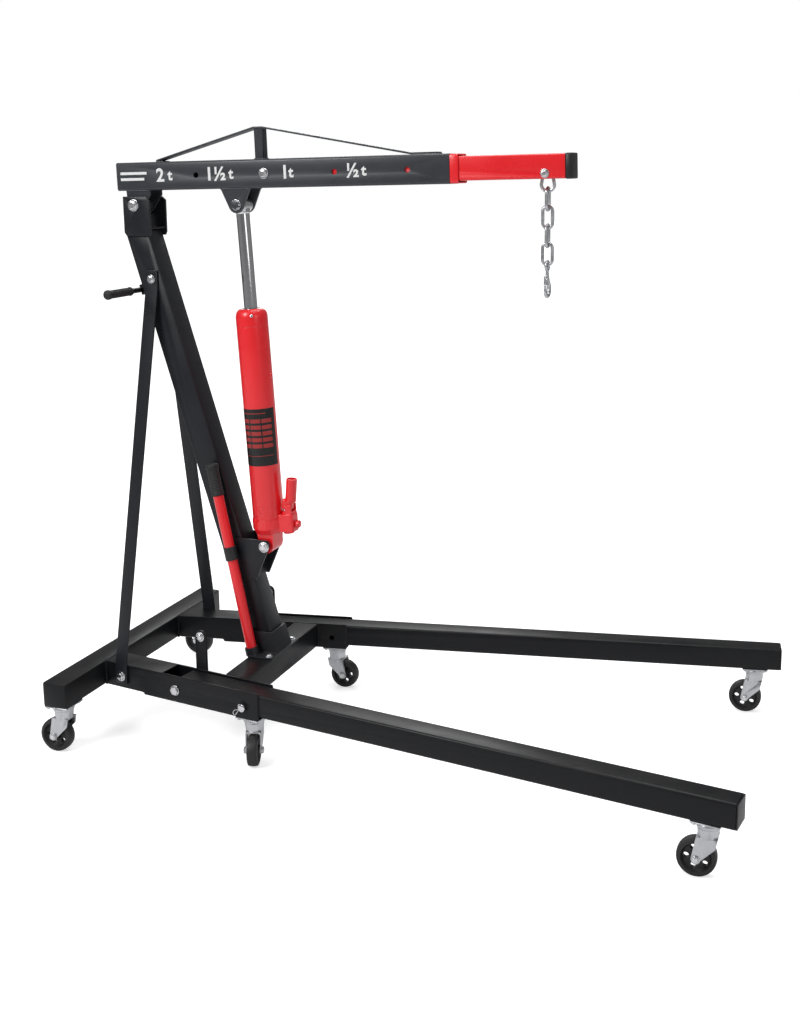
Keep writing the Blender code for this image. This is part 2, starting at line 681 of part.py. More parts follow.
def boom_tube():
    length = BOOM_FRONT - BOOM_REAR
    middle = ((BOOM_FRONT + BOOM_REAR) / 2, 0, BOOM_MIDDLE)
    tube = plate(section(BOOM_WIDTH, BOOM_HEIGHT, BOOM_WALL, 0.006), length, "yz", middle)
    holes = []
    for index in range(HOLE_COUNT):
        x = HOLE_FIRST + HOLE_PITCH * index
        holes.append(rod(HOLE_RADIUS, -0.1, 0.1, "y", (x, 0, BOOM_MIDDLE), 16))
    return cut(tube, *holes)


def boom_lug():
    """Two ears and a bush under the boom for its hinge bolt."""
    outline = [(-0.024, BOOM_BOTTOM + 0.002)]
    outline += arc((0, 0), 0.022, 180, 340, 8)
    outline += [(0.044, BOOM_BOTTOM - 0.012), (0.044, BOOM_BOTTOM + 0.002)]
    near = plate([outline], 0.006, "xz", (0, -0.028, 0))
    far = plate([outline], 0.006, "xz", (0, 0.028, 0))
    bush = rod(0.017, -0.031, 0.031, "y", (0, 0, 0), 20)
    bore = rod(BOLT_RADIUS + GAP, -0.05, 0.05, "y", (0, 0, 0), 16)
    return cut(joined(near, bush, far), bore)


def ram_clevis():
    """Two tapered cheeks under the boom, each with its half of the ram's upper bolt."""
    pin = (RAM_TOP_X, RAM_TOP_Z)
    outline = [(RAM_TOP_X - 0.042, BOOM_BOTTOM + 0.002)]
    outline += arc(pin, 0.021, 205, 335, 6)
    outline += [(RAM_TOP_X + 0.042, BOOM_BOTTOM + 0.002)]
    pieces = []
    for side in (-1, 1):
        pieces.append(plate([outline], 0.006, "xz", (0, side * 0.0285, 0)))
        start, end = sorted((side * 0.0315, side * 0.0385))
        pieces.append(rod(0.011, start - 0.001, end, "y", (RAM_TOP_X, 0, RAM_TOP_Z), 6))
    return pieces


def make_boom(frame):
    boom = joined(boom_tube(), boom_lug(), *ram_clevis())
    finish_part(boom, "boom", black_paint, frame)
    front = BOOM_FRONT + GAP
    ring = section(BOOM_WIDTH - 0.002, BOOM_HEIGHT - 0.002, 0.0035, 0.006)
    collar = plate(ring, COLLAR_LENGTH, "yz", (front + COLLAR_LENGTH / 2, 0, BOOM_MIDDLE))
    finish_part(collar, "boom_collar", red_paint, frame)


def make_stay(frame):
    """The strip over the boom and the short post that props it."""
    top = BOOM_BOTTOM + BOOM_HEIGHT + GAP
    thick, half = 0.005, POST_SIZE / 2
    lower = [
        (STAY_REAR, top), (POST_X - half, STAY_PEAK), (POST_X + half, STAY_PEAK),
        (STAY_LAND, top), (STAY_FRONT, top)]
    upper = [
        (STAY_FRONT, top + thick), (STAY_LAND, top + thick), (POST_X + half, STAY_PEAK + thick),
        (POST_X - half, STAY_PEAK + thick), (STAY_REAR, top + thick)]
    strip = plate([lower + upper], 0.030, "xz")
    post = block((POST_X - half, -half, top), (POST_X + half, half, STAY_PEAK + 0.002))
    finish_part(joined(strip, softened(post, 0.002, 1)), "boom_stay", black_paint, frame)


def make_extension(frame):
    size = EXTENSION_SIZE
    length = EXTENSION_FRONT - EXTENSION_REAR
    middle = ((EXTENSION_FRONT + EXTENSION_REAR) / 2, 0, BOOM_MIDDLE)
    tube = plate(section(size, size, 0.004, 0.005), length, "yz", middle)
    lock = rod(HOLE_RADIUS, -0.1, 0.1, "y", (HOLE_FIRST + HOLE_PITCH, 0, BOOM_MIDDLE), 16)
    hook_hole = rod(HOOK_BOLT_RADIUS + GAP, -0.1, 0.1, "y", (HOOK_BOLT_X, 0, HOOK_BOLT_Z), 16)
    slot_low = BOOM_MIDDLE - size / 2
    slot = block(
        (HOOK_BOLT_X - SLOT_REACH, -SLOT_WIDTH / 2, slot_low - 0.01),
        (EXTENSION_FRONT + 0.01, SLOT_WIDTH / 2, slot_low + 0.01))
    finish_part(cut(tube, lock, hook_hole, slot), "boom_extension", red_paint, frame)
    face = EXTENSION_FRONT + GAP
    rim = size / 2 + 0.001
    cap = softened(block((0, -rim, -rim), (0.016, rim, rim)), 0.003)
    plug = block((-0.010, -size / 2 + 0.006, 0.002), (0.002, size / 2 - 0.006, size / 2 - 0.006))
    cap = joined(cap, plug)
    cap.data.transform(at(face, 0, BOOM_MIDDLE))
    finish_part(cap, "extension_cap", plastic, frame)
    side = size / 2 + GAP
    hook_bolt = bolt(-side, side, (HOOK_BOLT_X, 0, HOOK_BOLT_Z), HOOK_BOLT_RADIUS, 0.010, 0.006)
    finish_part(hook_bolt, "hook_bolt", zinc, frame)


def make_extension_bolt(frame):
    """The bolt that sets the reach: its shank stops in the boom's wall."""
    face = -BOOM_WIDTH / 2 - GAP
    through = (HOLE_FIRST + HOLE_PITCH, 0, BOOM_MIDDLE)
    shank = rod(HOLE_RADIUS - GAP, face - 0.002, -EXTENSION_SIZE / 2 - 0.001, "y", through, 16)
    head = rod(0.0125, face - 0.008, face, "y", through, 6)
    finish_part(joined(shank, head), "extension_bolt", zinc, frame)


# ---- hook and chain

def link_points(length, width, start, end, steps=8):
    """Middle line of an oval link standing in a plane, from its top wire down."""
    half = width / 2 - WIRE / 2
    top, bottom = start - half, end + half
    return arc((0, top), half, 0, 180, steps) + arc((0, bottom), half, 180, 360, steps)


def make_chain(frame):
    """A ring on the bolt, then links that hang plumb and stand crosswise in turn."""
    hang = make_frame("hook_hang", frame, at(HOOK_BOLT_X, 0, HOOK_BOLT_Z) @ turned_about("Y", BOOM_REST))
    top = HOOK_BOLT_RADIUS + GAP + WIRE / 2
    ring = arc((0, 0), top, 20, 160, 6)
    ring += arc((0, -RING_DROP + RING_HALF_WIDTH), RING_HALF_WIDTH, 180, 360, 8)
    shackle = wire([(x, 0, z) for x, z in ring], WIRE / 2, closed=True)
    finish_part(shackle, "hook_shackle", zinc, hang)
    rest = -RING_DROP + WIRE + GAP
    length = LINK_LENGTH - WIRE
    for index in range(LINK_COUNT):
        middle_line = link_points(LINK_LENGTH, LINK_WIDTH, rest, rest - length)
        if index % 2 == 0:
            points = [(0, a, z) for a, z in middle_line]
        else:
            points = [(a, 0, z) for a, z in middle_line]
        item = wire(points, WIRE / 2, closed=True)
        finish_part(item, f"chain_link_{index + 1}", zinc, hang)
        rest += WIRE + GAP - length
    make_hook(hang, rest)


def make_hook(hang, rest):
    """An eye hook across the last link, with its safety latch."""
    eye_radius, eye_wire = 0.0105, 0.0040
    eye_middle = rest - eye_radius
    eye = wire([(0, a, z) for a, z in ring_points(eye_radius, 16, (0, eye_middle))], eye_wire, closed=True)
    bowl = 0.0175
    bowl_middle = eye_middle - 0.0555
    route = [(0.0, eye_middle - eye_radius - 0.001), (0.0, eye_middle - 0.022), (0.004, eye_middle - 0.030)]
    route += arc((0, bowl_middle), bowl, 55, -185, 12)
    route += [(-bowl - 0.002, bowl_middle + 0.010)]
    body = wire([(0, a, z) for a, z in route], 0.0058, sides=3)
    pivot_z = eye_middle - LATCH_DROP
    lug = block((-0.0030, LATCH_Y - 0.002, pivot_z - 0.002), (0.0030, 0.001, pivot_z + 0.002))
    rivet = rod(0.0011, -0.0065, 0.0065, "x", (0, LATCH_Y, pivot_z), 10)
    finish_part(joined(body, eye, lug, rivet), "hook", zinc, hang)
    make_latch(hang, eye_middle, bowl, bowl_middle)


def make_latch(hang, eye_middle, bowl, bowl_middle):
    """A sheet tongue on a rivet, which closes the hook's mouth and opens inwards."""
    pivot = (LATCH_Y, eye_middle - LATCH_DROP)
    tip = (-bowl + 0.0075, bowl_middle + 0.0105)
    tongue = plate([[
        (pivot[0] + 0.002, pivot[1] - 0.0035), (pivot[0] - 0.001, pivot[1] - 0.0035),
        (tip[0] - 0.001, tip[1]), (tip[0] + 0.001, tip[1] + 0.0005)]], 0.011, "yz")
    ear = arc(pivot, 0.0032, 0, 180, 6)
    ear += [(pivot[0] - 0.0032, pivot[1] - 0.0060), (pivot[0] + 0.0022, pivot[1] - 0.0060)]
    hole = ring_points(0.0016, 10, pivot)
    near = plate([ear, hole], 0.0014, "yz", (-0.0045, 0, 0))
    far = plate([ear, hole], 0.0014, "yz", (0.0045, 0, 0))
    finish_part(joined(tongue, near, far), "hook_latch", zinc, hang)


# ---- hydraulic ram

def make_ram_base(frame):
    """The cast base: an eye for the lower pin, a foot for the tube and the pump's body."""
    outline = [(0.024, 0.045), (-0.024, 0.045)]
    outline += arc((0, 0), 0.021, 180, 360, 8)
    eye = plate([outline], 0.058, "xz")
    foot = turned([(0, RAM_BASE_TOP), (0.043, RAM_BASE_TOP), (0.043, 0.046), (0.036, 0.032), (0, 0.032)], 24)
    body = plate([rounded(0.058, 0.038, 0.006)], 0.047, "xy", (0.049, 0, 0.0595))
    barrel = rod(0.014, 0.030, 0.090, "z", (0.056, 0, 0), 16)
    ears = block((SOCKET_X - 0.009, -0.017, 0.078), (SOCKET_X + 0.009, 0.017, SOCKET_Z + 0.009))
    slot = block((0.040, -0.0125, 0.0905), (0.10, 0.0125, 0.14))
    bore = rod(BOLT_RADIUS + GAP, -0.1, 0.1, "y", (0, 0, 0), 16)
    plunger_hole = rod(0.0055 + GAP, 0.0605, 0.2, "z", (0.050, 0, 0), 12)
    valve_hole = rod(0.0045 + GAP, 0.066, 0.2, "x", (0, 0, 0.055), 12)
    pin = rod(0.0030, -0.0165, 0.0165, "y", (SOCKET_X, 0, SOCKET_Z), 12)
    base = joined(eye, foot, body, barrel, ears)
    relief = rod(RAM_RADIUS + 2 * GAP, RAM_BASE_TOP + GAP / 2, 0.2, "z", (0, 0, 0), 32)
    base = joined(cut(base, relief, slot, bore, plunger_hole, valve_hole), pin)
    finish_part(base, "ram_base", red_paint, frame)


def make_ram(frame):
    make_ram_base(frame)
    low = RAM_BASE_TOP + GAP
    bore = ROD_RADIUS + GAP
    shell = turned([
        (bore, GLAND_TOP), (0.027, GLAND_TOP), (0.0285, GLAND_TOP - 0.002),
        (RAM_RADIUS, RAM_TUBE_TOP), (RAM_RADIUS, low), (RAM_BORE, low),
        (RAM_BORE, GLAND_TOP - GLAND_LENGTH), (bore, GLAND_TOP - GLAND_LENGTH)], 32)
    finish_part(shell, "ram_cylinder", red_paint, frame)
    outer = RAM_BORE - GAP
    piston = turned([
        (bore, PISTON_TOP), (outer, PISTON_TOP), (outer, PISTON_BOTTOM), (bore, PISTON_BOTTOM)], 24)
    finish_part(piston, "ram_piston", plastic, frame)


def make_ram_rod(frame, length):
    shaft = rod(ROD_RADIUS, ROD_BOTTOM, length - 0.010, "z", (0, 0, 0), 28)
    head = rod(0.020, -0.0245, 0.0245, "y", (0, 0, length), 24)
    neck = rod(0.019, length - 0.023, length - 0.004, "z", (0, 0, 0), 24)
    finish_part(joined(shaft, neck, head), "ram_rod", chrome, frame)


def make_pump(frame):
    """The lever socket, plunger and release valve on the pump."""
    place = at(SOCKET_X, 0, SOCKET_Z) @ turned_about("Y", SOCKET_TILT)
    tube = rod(0.0145, 0.016, SOCKET_LENGTH, "z", (0, 0, 0), 20)
    heel = block((-0.022, -0.0095, -0.006), (0.007, 0.0095, 0.022))
    bore = rod(STORED_RADIUS - 0.002, 0.030, 0.2, "z", (0, 0, 0), 16)
    pin_room = rod(0.0035, -0.1, 0.1, "y", (0, 0, 0), 12)
    socket = cut(joined(tube, softened(heel, 0.003, 1)), bore, pin_room)
    socket.data.transform(place)
    finish_part(socket, "pump_socket", red_paint, frame)
    plunger = rod(0.0055, 0.062, 0.0945, "z", (0.050, 0, 0), 12)
    finish_part(plunger, "pump_plunger", chrome, frame)
    stem = rod(0.0045, 0.068, 0.084, "x", (0, 0, 0.055), 12)
    knob = rod(0.010, 0.0785, 0.0905, "x", (0, 0, 0.055), 12)
    finish_part(joined(stem, knob), "release_valve", zinc, frame)


# ---- casters

def fork_mesh(mount, wheel):
    """A swivel fork about local Z, with its axle, trailing along -X."""
    centre = wheel / 2
    crown = wheel + 0.007
    half = WHEEL_WIDTH / 2 + 0.0055
    outline = [(0.022, crown), (-0.024, crown)]
    outline += arc((-TRAIL, centre), 0.0105, 160, 350, 8)
    outline += [(0.018, crown - 0.022)]
    fork = plate([outline], 2 * half, "xz")
    slot = block((-0.08, -half + 0.003, -0.05), (0.08, half - 0.003, crown - 0.003))
    fork = cut(fork, slot)
    race = rod(0.022, crown - 0.0015, mount - GAP, "z", (0, 0, 0), 20, end_radius=0.026)
    axle = rod(AXLE_RADIUS, -half - 0.001, half + 0.001, "y", (-TRAIL, 0, centre), 14)
    heads = [
        rod(0.0085, -half - 0.005, -half + 0.0005, "y", (-TRAIL, 0, centre), 6),
        rod(0.0085, half - 0.0005, half + 0.005, "y", (-TRAIL, 0, centre), 6)]
    return joined(fork, race, axle, *heads)


def wheel_mesh(wheel):
    radius, half = wheel / 2, WHEEL_WIDTH / 2
    bore = AXLE_RADIUS + GAP
    side = [
        (bore, half + 0.001), (0.011, half + 0.001), (0.013, half - 0.005), (radius - 0.016, half - 0.005),
        (radius - 0.012, half - 0.001), (radius - 0.006, half - 0.001),
        (radius - 0.001, half - 0.007), (radius, half - 0.012)]
    profile = side + [(r, -z) for r, z in reversed(side)]
    turn = at(-TRAIL, 0, radius) @ Matrix.Rotation(math.radians(90), 4, "X")
    return turned(profile, 20, turn)


def make_caster(name, parent, place, mount, wheel):
    frame = make_frame("caster_" + name, parent, place)
    finish_part(fork_mesh(mount, wheel), "caster_fork_" + name, zinc, frame)
    finish_part(wheel_mesh(wheel), "caster_wheel_" + name, rubber, frame)


def make_casters(root, rails, legs):
    beam_mount = BEAM_BOTTOM - PLATE_THICKNESS
    rail_mount = CHANNEL_BOTTOM - PLATE_THICKNESS
    leg_mount = LEG_BOTTOM - PLATE_THICKNESS
    for side, name in ((-1, "right"), (1, "left")):
        place = at(REAR_CASTER_X, side * REAR_CASTER_Y, 0)
        make_caster("rear_" + name, root, place, beam_mount, LARGE_WHEEL)
        turn = math.radians(118 if side < 0 else 170)
        place = at(MID_CASTER_U, 0, 0) @ turned_about("Z", turn)
        make_caster("mid_" + name, rails[side], place, rail_mount, SMALL_WHEEL)
        place = at(FRONT_CASTER_U - PIVOT_U, 0, -PIVOT_Z) @ turned_about("Z", -side * SPLAY)
        make_caster("front_" + name, legs[side], place, leg_mount, LARGE_WHEEL)


# ---- assembly

def make_crane():
    collection = bpy.data.collections.new("engine_hoist_crane")
    bpy.context.scene.collection.children.link(collection)
    root = make_frame("crane_frame", None, at(-ORIGIN_STATION, 0, 0))
    rails, legs = {}, {}
    for side, name in ((-1, "right"), (1, "left")):
        place = at(BEAM_DEPTH, side * RAIL_START_Y, 0) @ turned_about("Z", side * SPLAY)
        rails[side] = make_frame("rail_" + name, root, place)
        legs[side] = make_frame("leg_pivot_" + name, rails[side], at(PIVOT_U, 0, PIVOT_Z))
    boom_frame = make_frame(
        "boom_hinge", root, at(HINGE_STATION, 0, HINGE_Z) @ turned_about("Y", -BOOM_REST))
    upper = boom_frame.matrix_local @ Vector((RAM_TOP_X, 0, RAM_TOP_Z))
    span = upper - Vector((RAM_PIN_STATION, 0, RAM_PIN_Z))
    ram_frame = make_frame(
        "ram_pin", root, at(RAM_PIN_STATION, 0, RAM_PIN_Z) @ turned_about("Y", math.atan2(span.x, span.z)))
    stored = make_frame(
        "stored_handle", root, at(STORED_STATION, STORED_Y, STORED_Z) @ turned_about("Y", -STORED_TILT))

    make_rear_crossbeam(root)
    make_mid_crossbeam(root)
    make_mast(root)
    make_head_bracket(root)
    make_ram_bracket(root)
    make_foot_socket(root, stored)
    make_braces(root)
    make_push_handle(root)
    make_stored_handle(root, stored)
    for side, name in ((-1, "right"), (1, "left")):
        make_side_rail(side, "side_rail_" + name, rails[side])
        make_leg(side, legs[side], rails[side])
        make_lock_pin(side, rails[side])

    make_boom(boom_frame)
    make_stay(boom_frame)
    make_extension(boom_frame)
    make_extension_bolt(boom_frame)
    cheeks = MAST_WIDTH / 2 + CHEEK_THICKNESS + 2 * GAP
    hinge_bolt = bolt(-cheeks, cheeks, (0, 0, 0), BOLT_RADIUS, 0.0145, 0.008)
    finish_part(hinge_bolt, "boom_hinge_bolt", zinc, boom_frame)
    make_chain(boom_frame)

    make_ram(ram_frame)
    make_ram_rod(ram_frame, span.length)
    make_pump(ram_frame)
    ram_bolt = bolt(-cheeks, cheeks, (0, 0, 0), BOLT_RADIUS, 0.0135, 0.008)
    finish_part(ram_bolt, "ram_lower_bolt", zinc, ram_frame)
    make_casters(root, rails, legs)


clear_scene()
make_crane()
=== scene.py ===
import json
import math
import bmesh
import bpy
from mathutils import Matrix, Vector


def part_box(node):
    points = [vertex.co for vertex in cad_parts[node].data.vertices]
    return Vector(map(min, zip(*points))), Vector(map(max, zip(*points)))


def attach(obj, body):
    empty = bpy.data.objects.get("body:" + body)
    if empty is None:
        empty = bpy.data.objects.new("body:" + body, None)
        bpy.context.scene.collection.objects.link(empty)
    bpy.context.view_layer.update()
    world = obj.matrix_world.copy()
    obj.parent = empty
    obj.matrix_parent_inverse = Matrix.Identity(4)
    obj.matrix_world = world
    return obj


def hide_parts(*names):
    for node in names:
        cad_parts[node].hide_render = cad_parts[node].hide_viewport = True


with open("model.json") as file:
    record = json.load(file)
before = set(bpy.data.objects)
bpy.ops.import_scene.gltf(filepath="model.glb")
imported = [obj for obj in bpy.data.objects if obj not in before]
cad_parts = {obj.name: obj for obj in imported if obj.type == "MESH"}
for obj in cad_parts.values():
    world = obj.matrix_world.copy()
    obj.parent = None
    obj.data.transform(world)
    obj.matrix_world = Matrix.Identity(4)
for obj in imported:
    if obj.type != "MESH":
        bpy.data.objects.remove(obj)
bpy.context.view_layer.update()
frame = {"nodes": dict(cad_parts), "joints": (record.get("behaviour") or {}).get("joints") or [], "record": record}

joints = {joint["name"]: joint for joint in frame["joints"]}
up = Vector((0, 0, 1))
left = Vector((0, 1, 0))


# places, all read from the frame

def pointOf(name):
    return Vector(joints[name]["pos_m"])


def axisOf(name):
    return Vector(joints[name]["axis"]).normalized()


def placeAt(origin, zAxis, yAxis=left):
    z = zAxis.normalized()
    x = yAxis.cross(z).normalized()
    y = z.cross(x)
    place = Matrix((x, y, z)).transposed().to_4x4()
    place.translation = origin
    return place


def sizeIn(node, place):
    # the lowest and highest corners of a CAD node, measured in a turned place
    inverse = place.inverted()
    corners = [inverse @ vertex.co for vertex in frame["nodes"][node].data.vertices]
    low = Vector([min(corner[i] for corner in corners) for i in range(3)])
    high = Vector([max(corner[i] for corner in corners) for i in range(3)])
    return low, high


def railOf(side):
    # the leg's pivot, the way out of the rail's outer face, and the way along the rail
    out = axisOf("lock_pin_pull_" + side)
    along = out.cross(up)
    return pointOf("leg_fold_" + side), out, along if along.x > 0 else -along


def onRail(side, x, across):
    # the point beside a rail at world x, that far out from its middle line
    pivot, out, along = railOf(side)
    return pivot + along * ((x - pivot.x - out.x * across) / along.x) + out * across


ramPlace = placeAt(pointOf("ram_tilt_raise"), axisOf("rod_raise"))
boomAxis = axisOf("extension_slide")
boomPlace = placeAt(pointOf("boom_raise"), boomAxis.cross(left))
handleAxis = axisOf("stored_handle_lift")


# materials: shared effects are node groups, shaders stay in each material

def newGroup(name, inputs, outputs):
    group = bpy.data.node_groups.new(name, "ShaderNodeTree")
    for label, value in inputs:
        socket = group.interface.new_socket(label, in_out="INPUT", socket_type="NodeSocketFloat")
        socket.default_value = value
    for label, kind in outputs:
        group.interface.new_socket(label, in_out="OUTPUT", socket_type=kind)
    return group, group.nodes.new("NodeGroupInput"), group.nodes.new("NodeGroupOutput")


def addNode(tree, kind, settings=None, **values):
    node = tree.nodes.new(kind)
    for key, value in (settings or {}).items():
        setattr(node, key, value)
    for key, value in values.items():
        node.inputs[key.replace("_", " ")].default_value = value
    return node


def mathNode(tree, operation, first, second=None, clamp=False):
    node = tree.nodes.new("ShaderNodeMath")
    node.operation = operation
    node.use_clamp = clamp
    for index, value in enumerate((first, second)):
        if value is None:
            continue
        if isinstance(value, (int, float)):
            node.inputs[index].default_value = value
        else:
            tree.links.new(value, node.inputs[index])
    return node.outputs[0]


def noiseOf(tree, scale, detail=3.0, stretch=(1, 1, 1), roughness=0.5):
    place = addNode(tree, "ShaderNodeTexCoord")
    mapping = addNode(tree, "ShaderNodeMapping")
    mapping.inputs["Scale"].default_value = stretch
    tree.links.new(place.outputs["Object"], mapping.inputs["Vector"])
    noise = addNode(tree, "ShaderNodeTexNoise", Detail=detail, Roughness=roughness)
    tree.links.new(mapping.outputs[0], noise.inputs["Vector"])
    if isinstance(scale, (int, float)):
        noise.inputs["Scale"].default_value = scale
    else:
        tree.links.new(scale, noise.inputs["Scale"])
    return noise.outputs["Fac"]


def makeEdgeWear():
    group, given, result = newGroup(
        "edgeWear", [("Radius", 0.0015), ("Amount", 1.0), ("Scale", 60.0)],
        [("Mask", "NodeSocketFloat"), ("Normal", "NodeSocketVector")])
    bevel = addNode(group, "ShaderNodeBevel", {"samples": 6})
    group.links.new(given.outputs["Radius"], bevel.inputs["Radius"])
    surface = addNode(group, "ShaderNodeNewGeometry")
    dot = addNode(group, "ShaderNodeVectorMath", {"operation": "DOT_PRODUCT"})
    group.links.new(bevel.outputs[0], dot.inputs[0])
    group.links.new(surface.outputs["Normal"], dot.inputs[1])
    bend = mathNode(group, "SUBTRACT", 1.0, dot.outputs["Value"])
    grown = mathNode(group, "MULTIPLY", bend, 9.0, True)
    patchy = mathNode(group, "SUBTRACT", noiseOf(group, given.outputs["Scale"], 5.0), 0.42)
    patchy = mathNode(group, "MULTIPLY", patchy, 7.0, True)
    mask = mathNode(group, "MULTIPLY", grown, patchy)
    mask = mathNode(group, "MULTIPLY", mask, given.outputs["Amount"], True)
    group.links.new(mask, result.inputs["Mask"])
    group.links.new(bevel.outputs[0], result.inputs["Normal"])
    return group


def makeGrain():
    # orange peel height, slow mottling, and fine specks
    group, given, result = newGroup(
        "coatGrain", [("Scale", 600.0), ("Mottle", 9.0)],
        [("Height", "NodeSocketFloat"), ("Shade", "NodeSocketFloat"), ("Specks", "NodeSocketFloat")])
    group.links.new(noiseOf(group, given.outputs["Scale"], 2.0), result.inputs["Height"])
    group.links.new(noiseOf(group, given.outputs["Mottle"], 5.0), result.inputs["Shade"])
    specks = mathNode(group, "SUBTRACT", noiseOf(group, 900.0, 1.0), 0.66)
    group.links.new(mathNode(group, "MULTIPLY", specks, 12.0, True), result.inputs["Specks"])
    return group


def makeDust():
    # settles on faces that look up, in patches
    group, given, result = newGroup("dust", [("Amount", 0.3), ("Scale", 14.0)],
                                    [("Mask", "NodeSocketFloat")])
    surface = addNode(group, "ShaderNodeNewGeometry")
    split = addNode(group, "ShaderNodeSeparateXYZ")
    group.links.new(surface.outputs["Normal"], split.inputs[0])
    facing = mathNode(group, "MULTIPLY", split.outputs["Z"], 1.2, True)
    patches = mathNode(group, "SUBTRACT", noiseOf(group, given.outputs["Scale"], 6.0), 0.3)
    patches = mathNode(group, "MULTIPLY", patches, 2.2, True)
    mask = mathNode(group, "MULTIPLY", facing, patches)
    group.links.new(mathNode(group, "MULTIPLY", mask, given.outputs["Amount"], True),
                    result.inputs["Mask"])
    return group


def makeScratches():
    group, given, result = newGroup("scratches", [("Scale", 40.0), ("Amount", 0.5)],
                                    [("Mask", "NodeSocketFloat")])
    one = noiseOf(group, given.outputs["Scale"], 2.0, (0.6, 9, 14))
    two = noiseOf(group, given.outputs["Scale"], 2.0, (12, 8, 0.7))
    lines = mathNode(group, "MAXIMUM", one, two)
    lines = mathNode(group, "SUBTRACT", lines, 0.68)
    lines = mathNode(group, "MULTIPLY", lines, 16.0, True)
    group.links.new(mathNode(group, "MULTIPLY", lines, given.outputs["Amount"]), result.inputs["Mask"])
    return group


groups = {"wear": makeEdgeWear(), "grain": makeGrain(), "dust": makeDust(), "scratches": makeScratches()}


def useGroup(tree, name, **values):
    node = tree.nodes.new("ShaderNodeGroup")
    node.node_tree = groups[name]
    for key, value in values.items():
        node.inputs[key].default_value = value
    return node


def mixColour(tree, mask, first, second):
    mix = tree.nodes.new("ShaderNodeMix")
    mix.data_type = "RGBA"
    tree.links.new(mask, mix.inputs[0])
    for index, colour in ((6, first), (7, second)):
        if isinstance(colour, tuple):
            mix.inputs[index].default_value = (*colour, 1)
        else:
            tree.links.new(colour, mix.inputs[index])
    return mix.outputs[2]


def spread(tree, value, low, high):
    node = tree.nodes.new("ShaderNodeMapRange")
    node.inputs["To Min"].default_value = low
    node.inputs["To Max"].default_value = high
    node.inputs["From Min"].default_value = 0.25
    node.inputs["From Max"].default_value = 0.75
    tree.links.new(value, node.inputs["Value"])
    return node.outputs[0]


def finishOf(name, look):
    # look: colour, deep, worn, rough, metal, peel, peelScale, wear, dust, scratch, coat
    material = bpy.data.materials.new(name)
    material.use_nodes = True
    tree = material.node_tree
    shader = tree.nodes["Principled BSDF"]
    shader.inputs["Metallic"].default_value = look.get("metal", 0.0)
    shader.inputs["Coat Weight"].default_value = look.get("coat", 0.0)
    shader.inputs["Coat Roughness"].default_value = 0.12
    shader.inputs["Specular IOR Level"].default_value = look.get("specular", 0.5)
    grain = useGroup(tree, "grain", Scale=look.get("peelScale", 600.0), Mottle=look.get("mottle", 9.0))
    wear = useGroup(tree, "wear", Radius=look.get("edge", 0.0012), Amount=look.get("wear", 0.4))
    dust = useGroup(tree, "dust", Amount=look.get("dust", 0.2))
    colour = mixColour(tree, grain.outputs["Shade"], look["deep"], look["colour"])
    if look.get("scratch"):
        marks = useGroup(tree, "scratches", Amount=look["scratch"])
        colour = mixColour(tree, marks.outputs["Mask"], colour, look["worn"])
    colour = mixColour(tree, wear.outputs["Mask"], colour, look["worn"])
    colour = mixColour(tree, dust.outputs["Mask"], colour, look.get("dustColour", (0.16, 0.155, 0.15)))
    tree.links.new(colour, shader.inputs["Base Color"])
    low, high = look["rough"]
    rough = spread(tree, grain.outputs["Shade"], low, high)
    rough = mathNode(tree, "ADD", rough, mathNode(tree, "MULTIPLY", dust.outputs["Mask"], 0.35), True)
    tree.links.new(rough, shader.inputs["Roughness"])
    bump = tree.nodes.new("ShaderNodeBump")
    bump.inputs["Strength"].default_value = look.get("peel", 0.15)
    bump.inputs["Distance"].default_value = 0.0006
    tree.links.new(grain.outputs["Height"], bump.inputs["Height"])
    tree.links.new(wear.outputs["Normal"], bump.inputs["Normal"])
    tree.links.new(bump.outputs[0], shader.inputs["Normal"])
    return material


